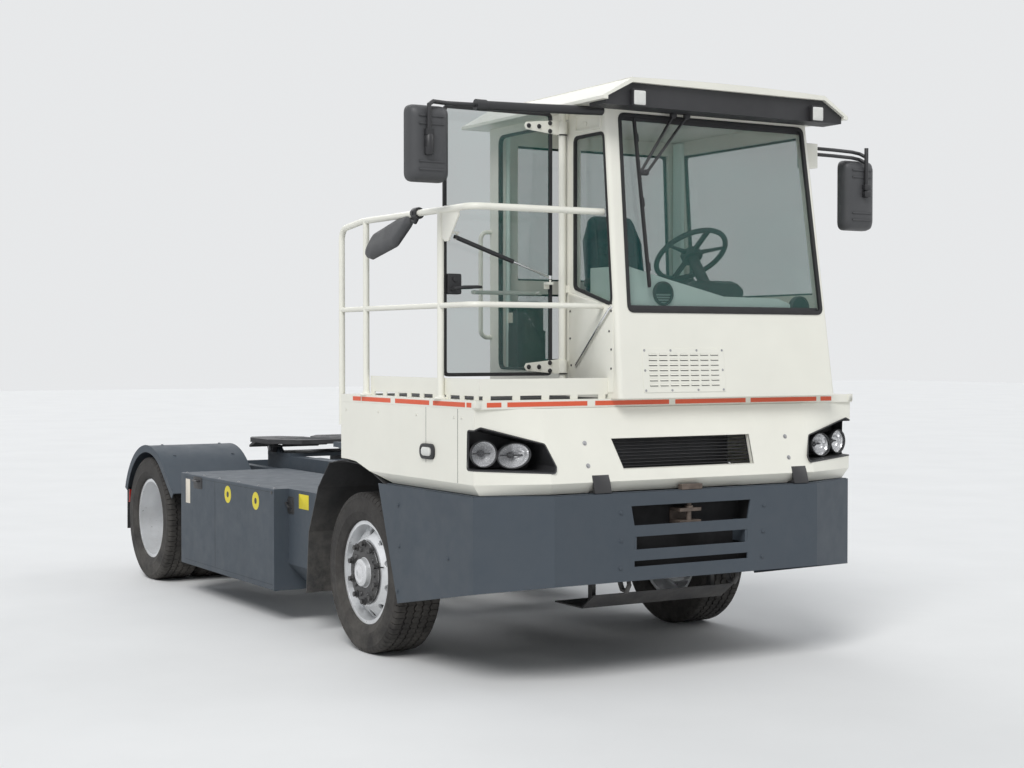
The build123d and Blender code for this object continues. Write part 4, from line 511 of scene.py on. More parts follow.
def repeat(made, name, values, look):
    """Run a node group on an object with values for its named inputs, and keep the plain result."""
    tree = bpy.data.node_groups.get(name)
    if not tree:
        build, kinds = REPEATS[name]
        tree = bpy.data.node_groups.new(name, "GeometryNodeTree")
        for label, kind in {"Geometry": "Geometry", **kinds, "Material": "Material"}.items():
            tree.interface.new_socket(label, in_out="INPUT", socket_type=f"NodeSocket{kind}")
        tree.interface.new_socket("Geometry", in_out="OUTPUT", socket_type="NodeSocketGeometry")
        given = add_node(tree, "NodeGroupInput").node.outputs
        real = add_node(tree, "GeometryNodeRealizeInstances", {0: build(tree, given)})
        done = add_node(tree, "GeometryNodeSetMaterial", {"Geometry": real, "Material": given["Material"]})
        add_node(tree, "NodeGroupOutput", {0: done})
    modifier = made.modifiers.new(name, "NODES")
    modifier.node_group = tree
    values = {**values, "Material": finish(look)}
    for item in tree.interface.items_tree:
        if item.item_type == "SOCKET" and item.in_out == "INPUT" and item.name in values:
            modifier[item.identifier] = values[item.name]
    apply_modifiers(made)
    smooth_below(made)
    return made


def screws(name, places, radius, height, look, sides=6, washer=1.5, body=BODY):
    """Screw heads at (point, facing) places."""
    mesh = bpy.data.meshes.new(name)
    mesh.from_pydata([tuple(point) for point, _ in places], [], [])
    facing = mesh.attributes.new("facing", "FLOAT_VECTOR", "POINT")
    for item, (_, direction) in zip(facing.data, places):
        item.vector = direction
    made = link_object(name, mesh, look)
    repeat(made, "screws", {"Head radius": radius, "Head height": height, "Sides": sides, "Washer": washer}, look)
    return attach(made, body)


# Sizes and colours that a user would change


class TractorLook(bpy.types.PropertyGroup):
    """Colours of the tractor."""

    cab_white: FloatVectorProperty(name="Cab white", description="Paint of the cab, body and rails",
                                   subtype="COLOR", size=3, min=0, max=1, default=(0.84, 0.825, 0.735))
    chassis_grey: FloatVectorProperty(name="Chassis grey", description="Paint of the bumper, boxes and frame",
                                      subtype="COLOR", size=3, min=0, max=1, default=(0.051, 0.065, 0.081))
    stripe: FloatVectorProperty(name="Stripe", description="Strips along the deck edge",
                                subtype="COLOR", size=3, min=0, max=1, default=(0.72, 0.11, 0.045))
    glass: FloatVectorProperty(name="Glass", description="Tint of the windows",
                               subtype="COLOR", size=3, min=0, max=1, default=(0.016, 0.105, 0.088))
    dash: FloatVectorProperty(name="Dash", description="Plastic of the dashboard and inner trim",
                              subtype="COLOR", size=3, min=0, max=1, default=(0.82, 0.96, 0.88))
    tyre: FloatVectorProperty(name="Tyre", description="Rubber of the road tyres",
                              subtype="COLOR", size=3, min=0, max=1, default=(0.020, 0.018, 0.017))


class TractorSizes(bpy.types.PropertyGroup):
    """Sizes of the fitted pieces."""

    pitches: IntProperty(name="Tread pitches", description="Repeats of the tread round a tyre",
                         default=72, min=24, max=120)
    groove: FloatProperty(name="Groove depth", description="Depth of the tread grooves", default=0.011,
                          min=0.002, max=0.02, subtype="DISTANCE", unit="LENGTH")
    gasket: FloatProperty(name="Gasket width", description="Width of the rubber round the panes", default=0.021,
                          min=0.01, max=0.06, subtype="DISTANCE", unit="LENGTH")
    nuts: IntProperty(name="Wheel nuts", description="Nuts on each wheel", default=10, min=6, max=12)
    pressure: FloatProperty(name="Seat filling", description="Pressure that swells the seat pads", default=4.0,
                            min=0.0, max=10.0)


SLOT_FINISHES = {"clear_glass": "window_glass", "lamp_lens": "black_plastic", "steel_rod": "chrome"}
NODE_FINISHES = {"front_mudguards": "arch_liner"}


class TRACTOR_OT_paint(bpy.types.Operator):
    """Give every carried-over node the finish of its material slot"""

    bl_idname = "tractor.paint"
    bl_label = "Paint nodes"

    def execute(self, context):
        for part in frame["record"]["subparts"]:
            node, slot = part["node"], part["material_slot"]
            materials = frame["nodes"][node].data.materials
            materials.clear()
            materials.append(finish(NODE_FINISHES.get(node, SLOT_FINISHES.get(slot, slot))))
        return {"FINISHED"}


# Wheels

TREAD_HALF, SHOULDER_R, TREAD_R = 0.12, 0.448, 0.463
GROOVES = (-0.074, -0.025, 0.025, 0.074)
GROOVE_HALF, GROOVE_WAVE, GROOVE_SLOPE = 0.0055, 0.006, 0.0012
RIB_STEP = 0.0245
CUT_IN, CUT_DOWN, RIB_CUT = 0.004, 0.007, 0.0035
SHOULDER = [
    # distance past the flat tread, drop
    (-0.012, 0.0), (0.0, 0.0), (0.009, 0.0045), (0.017, TREAD_R - SHOULDER_R),
]
SIDEWALL = [
    # distance from the tyre's middle, radius
    (0.1405, 0.4365), (0.145, 0.43), (0.144, 0.426), (0.1443, 0.412), (0.1455, 0.4), (0.146, 0.376),
    (0.1455, 0.356), (0.1462, 0.353), (0.144, 0.348), (0.14, 0.334), (0.1345, 0.32), (0.128, 0.306),
    (0.12, 0.302), (0.103, 0.2995), (0.1018, 0.2885),
]


def tread_pitch(name, pitches, depth):
    """One pitch of a road tyre: ribs, wavy grooves, cut shoulders and sidewalls."""
    columns = (0.0, 0.25, 0.44, 0.45, 0.55, 0.56, 0.75, 1.0)
    rows = []
    for column in columns:
        cut = 1.0 if 0.45 <= column <= 0.55 else 0.0
        half = [(TREAD_HALF + out - CUT_IN * cut, TREAD_R - drop - CUT_DOWN * cut) for out, drop in SHOULDER]
        half += SIDEWALL
        middle = []
        for groove in GROOVES:
            g = groove + GROOVE_WAVE * (1 - abs(column * 4 % 4 - 2))
            bottom = TREAD_R - depth
            middle += [(g - GROOVE_HALF, TREAD_R), (g - GROOVE_HALF + GROOVE_SLOPE, bottom),
                       (g + GROOVE_HALF - GROOVE_SLOPE, bottom), (g + GROOVE_HALF, TREAD_R)]
            if groove != GROOVES[-1]:
                middle.append((g + RIB_STEP, TREAD_R - RIB_CUT * cut))
        section = [(-y, r) for y, r in reversed(half)] + middle + half
        angle = 2 * math.pi * column / pitches
        rows.append([(r * math.sin(angle), y, r * math.cos(angle)) for y, r in section])
    form = Form()
    form.loft(rows, caps=False)
    return form.object(name, "tyre_rubber", smooth=0)


class TRACTOR_OT_tyres(bpy.types.Operator):
    """Ribbed road tyres, one pitch repeated round each axle"""

    bl_idname = "tractor.tyres"
    bl_label = "Tyres"

    def execute(self, context):
        size = context.scene.tractor_sizes
        for label, side in SIDES:
            for axle, wheel, plural, x, ys in (
                    ("front", "front_wheel", "tyre", FRONT_AXLE, (FRONT_TYRE_Y,)),
                    ("rear", "rear_wheels", "tyres", REAR_AXLE, (REAR_OUTER_Y, REAR_OUTER_Y - TWIN_SPACING))):
                made = tread_pitch(f"{axle}_road_{plural}_{label}", size.pitches, size.groove)
                repeat(made, "tyre_ring", {
                    "Pitches": size.pitches, "Tyres": len(ys), "Centre": (x, side * ys[0], AXLE_Z),
                    "Spacing": (0.0, -side * TWIN_SPACING, 0.0)}, "tyre_rubber")
                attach(made, f"{wheel}_{label}")
                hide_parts(f"{axle}_{plural}_{label}")
        return {"FINISHED"}


FRONT_FLANGE, REAR_FLANGE = 0.126, 0.028
LOBE_CIRCLE, NUT_CIRCLE = 0.134, 0.1675


def wheel_circle(x, y, radius, count, start=0.0):
    """Points on a circle round an axle, from a share of a step on."""
    angles = [2 * math.pi * (i + start) / count for i in range(count)]
    return [(x + radius * math.cos(a), y, AXLE_Z + radius * math.sin(a)) for a in angles]


class TRACTOR_OT_wheel_fittings(bpy.types.Operator):
    """Hub flanges, nuts, chrome caps and valves"""

    bl_idname = "tractor.wheel_fittings"
    bl_label = "Wheel fittings"

    def execute(self, context):
        nuts = context.scene.tractor_sizes.nuts
        for label, side in SIDES:
            y = side * FRONT_TYRE_Y
            form = Form()
            form.lathe(outward(side, [(-0.013, 0.088), (0.0012, 0.088), (0.0012, 0.178), (-0.001, 0.1835),
                                      (-0.013, 0.1835)], FRONT_FLANGE), (FRONT_AXLE, y, AXLE_Z), 72)
            lobe = outward(side, [(0.0, 0.0), (0.01, 0.0), (0.01, 0.012), (0.0, 0.017)], FRONT_FLANGE)
            for place in wheel_circle(FRONT_AXLE, y, LOBE_CIRCLE, nuts):
                form.lathe(lobe, place, 16)
            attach(form.object(f"hub_flange_{label}", "black_metal"), f"front_wheel_{label}")
            cap = Form()
            cap.lathe(outward(side, [(-0.04, 0.0), (-0.04, 0.08), (-0.022, 0.08), (-0.004, 0.074), (0.004, 0.06),
                                     (0.0055, 0.056), (0.0035, 0.052), (0.0035, 0.03), (0.008, 0.022), (0.009, 0.0)],
                              0.156), (FRONT_AXLE, y, AXLE_Z), 64)
            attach(cap.object(f"hub_cap_{label}", "chrome"), f"front_wheel_{label}")
            facing = (0, side, 0)
            places = wheel_circle(FRONT_AXLE, y + side * (FRONT_FLANGE + 0.001), NUT_CIRCLE, nuts, 0.5)
            screws(f"front_nuts_{label}", [(place, facing) for place in places], 0.0155, 0.02, "black_metal",
                   washer=1.45, body=f"front_wheel_{label}")
            places = wheel_circle(REAR_AXLE, side * (REAR_DISC_Y + REAR_FLANGE), NUT_CIRCLE, nuts, 0.5)
            screws(f"rear_nuts_{label}", [(place, facing) for place in places], 0.0165, 0.026, "zinc",
                   washer=1.45, body=f"rear_wheels_{label}")
            hub = Form()
            for profile in ([(0.146, 0.0), (0.146, 0.087), (0.1515, 0.086), (0.157, 0.079), (0.159, 0.06), (0.16, 0.0)],
                            [(0.088, 0.106), (0.1, 0.109), (0.106, 0.109), (0.11, 0.1), (0.104, 0.098)]):
                hub.lathe(outward(side, profile, REAR_DISC_Y), (REAR_AXLE, 0, AXLE_Z), 64)
            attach(hub.object(f"rear_hub_cap_{label}", "dark_iron"), f"rear_wheels_{label}")
            valve = Form()
            foot = Vector((FRONT_AXLE + 0.205, y + side * 0.108, AXLE_Z + 0.05))
            bend, tip = (foot + Vector(step) for step in ((0.03, side * 0.05, 0.008), (0.04, side * 0.06, 0.011)))
            valve.pipe([foot, foot + Vector((0.012, side * 0.03, 0.003)), bend], 0.0042)
            valve.pipe([bend, tip], 0.0058)
            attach(valve.object(f"valve_{label}", "black_rubber"), f"front_wheel_{label}")
        return {"FINISHED"}


# Body, deck and bumper

SIDE_STRIPE = ((1.294, 1.397), (1.409, 1.773), (1.831, 2.228), (2.272, 2.617), (2.634, 2.683))
FRONT_STRIPE = ((-1.185, -1.1), (-1.064, -0.578), (-0.528, -0.051), (-0.009, 0.472), (0.508, 0.983), (1.015, 1.095))
DECK_FRONT_X = 2.727
STRIPE_Z = (1.456, 1.48)


class TRACTOR_OT_body_trim(bpy.types.Operator):
    """Stripe, mat, seams, screws, clips and marker lamps of the white body and deck"""

    bl_idname = "tractor.body_trim"
    bl_label = "Body trim"

    def execute(self, context):
        low, high = STRIPE_Z
        strips, mat, trim, seams, marker, glass = (Form() for _ in range(6))
        for side in (1, -1):
            y = side * HALF_WIDTH
            for x0, x1 in SIDE_STRIPE:
                strips.box(x0, x1, y - side * 0.001, y + side * 0.0012, low, high)
            for x0, x1, dy in ((-0.03, 0.004, 0.004), (0.0, 0.004, -0.03)):
                y0, y1 = sorted((y, y + side * dy))
                trim.box(DECK_FRONT_X + x0, DECK_FRONT_X + x1, y0, y1, low - 0.004, high + 0.012)
            for x0, x1, z in ((2.5385, 2.5415, 1.064), (2.19, 2.1925, 1.15)):
                seams.box(x0, x1, y - side * 0.001, y + side * 0.0006, z, DECK_LOW)

            def place(u, v, w, side=side):
                return (u, side * (HALF_WIDTH + w), v)

            marker.stack(rounded(rectangle(2.135, 2.295, 1.168, 1.252), 0.04, 6), place,
                         ((-0.001, 0.0), (0.01, 0.001), (0.014, 0.006), (0.0145, 0.016), (0.01, 0.019)))
            glass.stack(rounded(rectangle(2.165, 2.265, 1.186, 1.234), 0.022, 6), place,
                        ((0.009, 0.0), (0.016, 0.001), (0.02, 0.006), (0.022, 0.014)))
        for y0, y1 in FRONT_STRIPE:
            strips.box(DECK_FRONT_X - 0.001, DECK_FRONT_X + 0.0012, y0, y1, low, high)
        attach(strips.object("deck_stripe", "stripe_paint", smooth=0), BODY)
        mat.box(1.3, 2.64, -1.15, CAB_RIGHT_Y - 0.004, DECK_TOP, DECK_TOP + 0.003)
        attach(mat.object("deck_mat", "deck_grip", smooth=0), BODY)
        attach(trim.object("stripe_clips", "white_paint", bevel=0.001), BODY)
        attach(seams.object("body_seams", "black_rubber", smooth=0), BODY)
        face = Vector((DECK_LOW - BODY_LOW, 0, BODY_RAKE)).normalized()
        places = [(on_body_front(y, z, 0.0), face) for y in (-0.634, 0.704) for z in (1.263, 1.147)]
        screws("body_front_screws", places, 0.008, 0.006, "zinc", washer=1.6)
        places = [((x, side * HALF_WIDTH, 1.4), (0, side, 0)) for x in (1.2, 1.62, 2.08, 2.5, 2.58)
                  for side in (1, -1)]
        screws("body_side_screws", places, 0.005, 0.003, "white_paint", sides=16, washer=1.3)
        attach(marker.object("side_marker_frames", "black_plastic"), BODY)
        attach(glass.object("side_marker_lenses", "lamp_white"), BODY)
        return {"FINISHED"}


class TRACTOR_OT_louvres(bpy.types.Operator):
    """Vent panel on the cab front and the grille in the body opening"""

    bl_idname = "tractor.louvres"
    bl_label = "Louvres"

    def execute(self, context):
        y0, y1, z0, z1 = -0.276, 0.267, 1.52, 1.757
        panel = Form()
        panel.stack(rounded(rectangle(y0, y1, z0, z1), 0.008, 3), on_cab_front, THIN_PLATE, offset_outline)
        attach(panel.object("vent_panel", "white_paint"), BODY)
        slope = Vector((cab_front(2.0) - cab_front(1.0), 0, 1.0)).normalized()
        face = Vector((slope.z, 0, -slope.x))
        wide, pitch = 0.052, 0.0681
        start = on_cab_front(-0.235 + wide / 2, 1.557, 0.0025)
        for name, look, shape in (
            # Flat black strips lying under the hoods: painted shade of the slot openings.
            ("vent_slots", "black_rubber", [(-0.0032, 0.0), (-0.0032, 0.0004), (0.0032, 0.0004), (0.0032, 0.0)]),
            ("vent_hoods", "white_paint", [(0.003, 0.0), (0.0, 0.0042), (0.0012, 0.0048), (0.01, 0.0)]),
        ):
            cell = Form()
            cell.loft([[slope * v + face * w + Vector((0, y, 0)) for v, w in shape] for y in (-wide / 2, wide / 2)])
            made = cell.object(name, look, smooth=0)
            repeat(made, "cell_grid", {"Columns": 7, "Rows": 7, "Start": start, "Column step": (0.0, pitch, 0.0),
                                       "Row step": tuple(slope * 0.0272)}, look)
            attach(made, BODY)
        edge = [(y, z) for y in (y0 + 0.014, y0 + 0.185, y1 - 0.185, y1 - 0.014) for z in (z0 + 0.012, z1 - 0.012)]
        edge += [(y, (z0 + z1) / 2) for y in (y0 + 0.014, y1 - 0.014)]
        screws("vent_screws", [(on_cab_front(y, z, 0.0022), face) for y, z in edge], 0.0045, 0.003, "zinc", sides=16)
        grille = Form()
        hole = [(-0.465, 1.282), (0.45, 1.282), (0.45, 1.125), (-0.415, 1.125)]
        grille.frame(offset_outline(hole, 0.0035), hole, on_body_front,
                     ((0, 0.0008), (1, 0.0008), (1, -0.03), (0, -0.03)))
        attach(grille.object("intake_lip", "white_paint", smooth=20), BODY)
        depth = 0.036
        bars = Form()
        inner = [(u * 1.02, v + (0.012 if v > 1.2 else -0.012)) for u, v in hole]
        bars.frame(hole, inner, on_body_front, ((0, -depth), (0, -depth - 0.004), (1, -depth - 0.004), (1, -depth)))
        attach(bars.object("grille_frame", "black_metal", smooth=20), BODY)
        strand = Form()
        strand.prism([(0.0, 0.0), (-0.016, -0.004), (-0.017, -0.001), (-0.001, 0.003)], 0.0, 0.893, along_y)
        made = strand.object("grille_slats", "black_metal", smooth=20)
        slope = Vector((body_front(2.0) - body_front(1.0), 0, 1.0)).normalized()
        repeat(made, "cell_grid", {
            "Columns": 1, "Rows": 9, "Start": on_body_front(-0.444, 1.134, -depth), "Column step": (0.0, 0.1, 0.0),
            "Row step": tuple(slope * 0.0182)}, "black_metal")
        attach(made, BODY)
        return {"FINISHED"}


class TRACTOR_OT_bumper_fittings(bpy.types.Operator):
    """Bolts, clips, tow hooks, slot lining of painted shade and ledge of the bumper"""

    bl_idname = "tractor.bumper_fittings"
    bl_label = "Bumper fittings"

    def execute(self, context):
        places = [((BUMPER_FRONT_X, y, z), (1, 0, 0)) for y, z in
                  ((-0.461, 0.897), (-0.464, 0.608), (0.488, 0.894), (0.476, 0.612), (-0.461, 0.752), (0.482, 0.752))]
        places += [((x, side * HALF_WIDTH, z), (0, side, 0)) for side in (1, -1)
                   for x, z in ((1.867, 0.897), (1.875, 0.672), (1.854, 0.423), (2.435, 0.664))]
        screws("bumper_bolts", places, 0.0085, 0.005, "chassis_paint", sides=20, washer=1.5)
        clips, hooks, lining, lip = (Form() for _ in range(4))
        section = [(2.8, 1.004), (2.866, 1.004), (2.866, 1.012), (2.85, 1.062), (2.835, 1.098), (2.829, 1.096),
                   (2.842, 1.06), (2.846, 1.022), (2.8, 1.01)]
        for y0, y1 in ((-0.62, -0.515), (0.71, 0.812)):
            clips.prism(section, y0, y1, along_y)
        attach(clips.object("body_clips", "black_metal", bevel=0.001), BODY)
        for y in (0.36, -0.36):
            path = [(2.7, y, 0.6), (2.705, y, 0.53), (2.735, y, 0.475), (2.775, y, 0.47), (2.8, y, 0.505),
                    (2.79, y, 0.545)]
            hooks.pipe(path, [0.014, 0.014, 0.014, 0.014, 0.013, 0.01], 14)
            hooks.box(2.69, 2.722, y - 0.024, y + 0.024, 0.575, 0.7)
        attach(hooks.object("tow_hooks", "dark_iron", bevel=0.002), BODY)
        # Near-black sheets lining the inside of the bumper slots: painted shade where the slots lie in shadow.
        x0, x1, y, z0, z1 = BUMPER_FRONT_X - 0.115, BUMPER_FRONT_X - 0.0105, 0.403, 0.578, 0.972
        for box in ((x0, x0 + 0.003, -y, y, z0, z1), (x0, x1, -y, -y + 0.003, z0, z1), (x0, x1, y - 0.003, y, z0, z1),
                    (x0, x1, -y, y, z0, z0 + 0.003), (x0, x1, -y, y, z1 - 0.003, z1)):
            lining.box(*box)
        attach(lining.object("bumper_lining", "dark_lining", smooth=0), BODY)
        side_y, front_x = HALF_WIDTH - 0.012, BUMPER_FRONT_X - 0.012
        outline = [(1.7, -side_y), (BUMPER_SIDE_X, -side_y), (front_x, -BUMPER_FLAT_Y), (front_x, BUMPER_FLAT_Y),
                   (BUMPER_SIDE_X, side_y), (1.7, side_y)]
        lip.loft([[(x, y, 0.9995), (x, y, 1.0035), (x - 0.028, y * 0.975, 1.0035), (x - 0.028, y * 0.975, 0.9995)]
                  for x, y in outline])
        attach(lip.object("bumper_ledge", "chassis_paint", smooth=20), BODY)
        return {"FINISHED"}


# Glass, door and wiper

WINDSCREEN = [(-0.345, 1.955), (0.978, 1.955), (0.905, 3.0), (-0.345, 3.0)]
QUARTER = [(FRONT_AXLE + x, z) for x, z in ((1.04, 2.085), (1.405, 1.985), (1.322, 2.9), (1.04, 2.9))]
LEFT_WINDOW = [(FRONT_AXLE + x, z) for x, z in ((0.19, 2.06), (1.37, 2.06), (1.29, 2.96), (0.19, 2.96))]
REAR_WINDOW = [(-0.25, 2.16), (0.88, 2.16), (0.85, 2.96), (-0.25, 2.96)]
REAR_LOW_WINDOW = rectangle(-0.25, 0.88, 1.68, 2.08)
DOOR_OPENING = rectangle(FRONT_AXLE + 0.235, FRONT_AXLE + 0.945, 1.64, 2.99)
DOOR_GLASS = rectangle(-1.203, -0.537, 1.61, 3.034)


class TRACTOR_OT_gaskets(bpy.types.Operator):
    """Rubber round the panes and the door opening, and borders of the windscreen"""

    bl_idname = "tractor.gaskets"
    bl_label = "Gaskets"

    def execute(self, context):
        width = context.scene.tractor_sizes.gasket
        form, band = Form(), Form()
        for outline, place, wide, low, high in (
                (WINDSCREEN, on_cab_front, width, -0.014, 0.006), (QUARTER, on_right_wall, width * 0.8, -0.012, 0.005),
                (LEFT_WINDOW, on_left_wall, width, -0.014, 0.006), (REAR_WINDOW, on_rear_wall, width, -0.012, 0.006),
                (REAR_LOW_WINDOW, on_rear_wall, width, -0.012, 0.006)):
            gasket(form, outline, place, wide, low, high)
        gasket(form, DOOR_OPENING, on_right_wall, width * 0.7, -0.016, 0.01, 0.05)
        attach(form.object("window_rubbers", "black_rubber"), BODY)
        for z, y1 in ((2.985, 0.905), (1.97, 0.96)):
            band.prism(rectangle(-0.33, y1, z - 0.014, z + 0.014), -0.0205, -0.013, on_cab_front)
        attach(band.object("windscreen_border", "black_plastic", smooth=0), BODY)
        return {"FINISHED"}


HINGE_Z = (1.655, 2.958)


class TRACTOR_OT_door_fittings(bpy.types.Operator):
    """Edge seal, handle, pull bar and hinge parts of the glass door, and the stay of the panel by it"""

    bl_idname = "tractor.door_fittings"
    bl_label = "Door fittings"

    def execute(self, context):
        x = DOOR_AXIS[0]
        seal, handle, bar, stay, rim = (Form() for _ in range(5))
        outline = rounded(DOOR_GLASS, 0.03, 6)
        seal.frame(offset_outline(outline, 0.003), offset_outline(outline, -0.016), along_x,
                   ((0, x - 0.008), (0, x + 0.008), (1, x + 0.0055), (1, x - 0.0055)))
        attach(seal.object("door_edge_seal", "black_rubber", smooth=40), "door")
        plate = rounded(rectangle(-1.19, -1.105, 2.04, 2.15), 0.012, 4)
        for face in (1, -1):
            handle.stack(plate, along_x, [(x + face * w, grow) for w, grow in
                                          ((0.004, 0.0), (0.018, -0.001), (0.021, -0.004))], offset_outline)
            grip = [(0.02, -1.165, 2.065), (0.048, -1.16, 2.07), (0.055, -1.11, 2.078), (0.055, -1.03, 2.08),
                    (0.046, -1.0, 2.08)]
            handle.pipe([(x + face * off, y, z) for off, y, z in grip], [0.01, 0.01, 0.009, 0.009, 0.007], 14)
            handle.lathe([(0.0, 0.0), (0.0, 0.014), (0.006, 0.013), (0.006, 0.0)],
                         (x + face * 0.021, -1.147, 2.12), 24, axis="x")
        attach(handle.object("door_handle", "black_plastic"), "door")
        bar.pipe([(x - off, y, 2.055) for off, y in
                  ((0.006, -0.6), (0.036, -0.604), (0.045, -0.625), (0.045, -0.985), (0.036, -1.006), (0.006, -1.01))],
                 0.011, 16)
        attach(bar.object("door_pull_bar", "white_paint"), "door")
        places = [((x + 0.01, y, z + dz), (1, 0, 0)) for z in HINGE_Z
                  for y, dz in ((-0.55, -0.022), (-0.55, 0.022), (-0.62, 0.0), (-0.685, 0.0))]
        screws("door_hinge_screws", places, 0.0095, 0.007, "black_metal", sides=20, washer=1.35, body="door")
        stay.pipe([on_right_wall(*place) for place in ((2.741, 1.975, 0.002), (2.729, 1.962, 0.014),
                                                       (2.408, 1.668, 0.014), (2.395, 1.656, 0.002))], 0.0065, 12)
        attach(stay.object("panel_stay", "chrome"), BODY)
        for z in HINGE_Z:
            rim.lathe([(-0.036, 0.014), (-0.036, 0.03), (-0.04, 0.027), (-0.042, 0.014)], (*DOOR_AXIS, z), 32, axis="z")
        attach(rim.object("hinge_washers", "black_metal"), "door")
        return {"FINISHED"}


class TRACTOR_OT_wiper(bpy.types.Operator):
    """Wiper blade, clips and pivot caps"""

    bl_idname = "tractor.wiper"
    bl_label = "Wiper"

    def execute(self, context):
        top, low = (Vector((cab_front(z) + 0.01, y, z)) for y, z in ((-0.262, 2.985), (-0.215, 2.08)))
        along = (low - top).normalized()
        face = Vector((1, 0, 0.09)).normalized()
        across = along.cross(face).normalized()
        blade, caps = Form(), Form()
        for width, near, far in ((0.0105, 0.004, 0.014), (0.004, -0.007, 0.005)):
            rings = []
            for share in (0.0, 0.02, 0.5, 0.98, 1.0):
                centre = top + (low - top) * share
                w = width * (0.5 if share in (0.0, 1.0) else 1.0)
                rings.append([centre + across * a + face * b for a, b in
                              ((w, near), (w * 0.6, far), (-w * 0.6, far), (-w, near))])
            blade.loft(rings)
        for share in (0.12, 0.5, 0.88):
            centre = top + (low - top) * share
            blade.faces([centre + along * a + across * b + face * c for a in (-0.022, 0.022) for b in (-0.01, 0.01)
                         for c in (0.006, 0.018)], BOX_FACES)
        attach(blade.object("wiper_blade", "black_rubber", smooth=30), BODY)
        for y in (-0.02, 0.07):
            caps.lathe([(-0.012, 0.0), (-0.012, 0.018), (0.008, 0.018), (0.014, 0.012), (0.015, 0.0)],
                       (cab_front(3.012) + 0.042, y, 3.012), 28, axis="x")
        for y in (-0.232, -0.203):
            caps.lathe([(-0.012, 0.0), (-0.012, 0.016), (0.01, 0.016), (0.014, 0.01), (0.015, 0.0)],
                       (cab_front(2.69) + 0.016, y, 2.695), 24, axis="x")
        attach(caps.object("wiper_caps", "black_plastic"), BODY)
        return {"FINISHED"}


# Lamps and mirrors


def lamp_axes(aim):
    """Axes of a lamp: along its aim, level across, and up."""
    forward = Vector(aim).normalized()
    across = Vector((0, 0, 1)).cross(forward).normalized()
    return forward, across, forward.cross(across)


def dish(form, centre, aim, half_width, half_height, profile, tilt=0.0, segments=44):
    """Oval form: (depth along the aim, share of the half sizes) pairs swept round the aim."""
    forward, across, up = lamp_axes(aim)
    across, up = (across * math.cos(tilt) + up * math.sin(tilt), up * math.cos(tilt) - across * math.sin(tilt))
    rings = []
    for i in range(segments):
        a = 2 * math.pi * i / segments
        reach = across * math.cos(a) * half_width + up * math.sin(a) * half_height
        rings.append([centre + forward * depth + reach * share for depth, share in profile])
    form.loft(rings, closed=True)


HEADLAMPS = (
    # x, distance across, height, half width, half height, tilt
    (2.688, 1.18, 1.218, 0.07, 0.068, 0.0),
    (2.722, 1.022, 1.206, 0.091, 0.065, 0.16),
)
# Headlamp opening with the corner unrolled: past the half width it lies on the side wall.
LAMP_OPENING = [(1.313, 1.335), (1.25, 1.335), (1.215, 1.35), (0.88, 1.262), (0.838, 1.15), (0.845, 1.12),
                (1.25, 1.14), (1.313, 1.14)]


class TRACTOR_OT_headlamps(bpy.types.Operator):
    """Dark pockets with a round and an oval lamp on each side"""

    bl_idname = "tractor.headlamps"
    bl_label = "Headlamps"

    def execute(self, context):
        pocket, bowls, bezels, glass = (Form() for _ in range(4))
        for side in (1, -1):
            def place(u, v, w, side=side):
                """Point of the unrolled corner, raised by w."""
                if u <= HALF_WIDTH:
                    return (body_chamfer(u, v) + w * 0.94, side * (u + w * 0.34), v)
                return (body_chamfer(HALF_WIDTH, v) + HALF_WIDTH - u, side * (HALF_WIDTH + w), v)

            edge = rounded(LAMP_OPENING, 0.014, 4)
            back = inset([(min(u, 1.238), v) for u, v in edge], 0.008)
            pocket.loft([[place(*lip, 0.0), place(*lip, 0.0016), place(*hole, 0.0016), (2.577, side * u, v),
                          (2.572, side * u, v), place(*hole, -0.008)]
                         for lip, hole, (u, v) in zip(offset_outline(edge, 0.007), edge, back)], closed=True)
            pocket.prism([(side * u, v) for u, v in inset(back, -0.003)], 2.566, 2.577, along_x)
            aim = (1.0, side * 0.24, 0.0)
            forward, across, _ = lamp_axes(aim)
            for x, y, z, wide, high, tilt in HEADLAMPS:
                front = Vector((x, side * y, z))
                lamp = (front, aim, wide, high)
                turn = side * -tilt
                dish(pocket, *lamp, [(-0.085, 0.0), (-0.085, 0.72), (-0.012, 1.0), (-0.01, 0.98), (-0.078, 0.66),
                                     (-0.08, 0.0)], turn)
                dish(bowls, *lamp, [(-0.076, 0.0), (-0.075, 0.2), (-0.066, 0.46), (-0.046, 0.74), (-0.036, 0.82),
                                    (-0.03, 0.83), (-0.014, 0.95), (-0.012, 0.93), (-0.028, 0.8), (-0.034, 0.79),
                                    (-0.043, 0.71), (-0.062, 0.43), (-0.071, 0.18), (-0.072, 0.0)], turn)
                dish(bezels, *lamp,
                     [(-0.018, 0.93), (-0.018, 1.02), (-0.002, 1.04), (0.004, 1.01), (0.002, 0.93)], turn)
                dish(bezels, front, aim, 0.019, 0.017,
                     [(-0.072, 0.0), (-0.072, 1.0), (-0.044, 0.9), (-0.036, 0.5), (-0.034, 0.0)])
                dish(glass, *lamp, [(-0.008, 0.94), (0.004, 0.93), (0.014, 0.72), (0.019, 0.38), (0.02, 0.0),
                                    (0.016, 0.0), (0.015, 0.37), (0.01, 0.7), (-0.008, 0.9)], turn)
                middle = front - forward * 0.046
                bezels.pipe([middle - across * wide * 0.66, middle + across * wide * 0.66], 0.004, 8)
        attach(pocket.object("headlamp_pockets", "black_plastic"), BODY)
        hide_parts("headlamps")
        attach(bowls.object("headlamp_reflectors", "reflector"), BODY)
        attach(bezels.object("headlamp_bezels", "black_plastic"), BODY)
        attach(glass.object("headlamp_glass", "lamp_glass"), BODY)
        return {"FINISHED"}


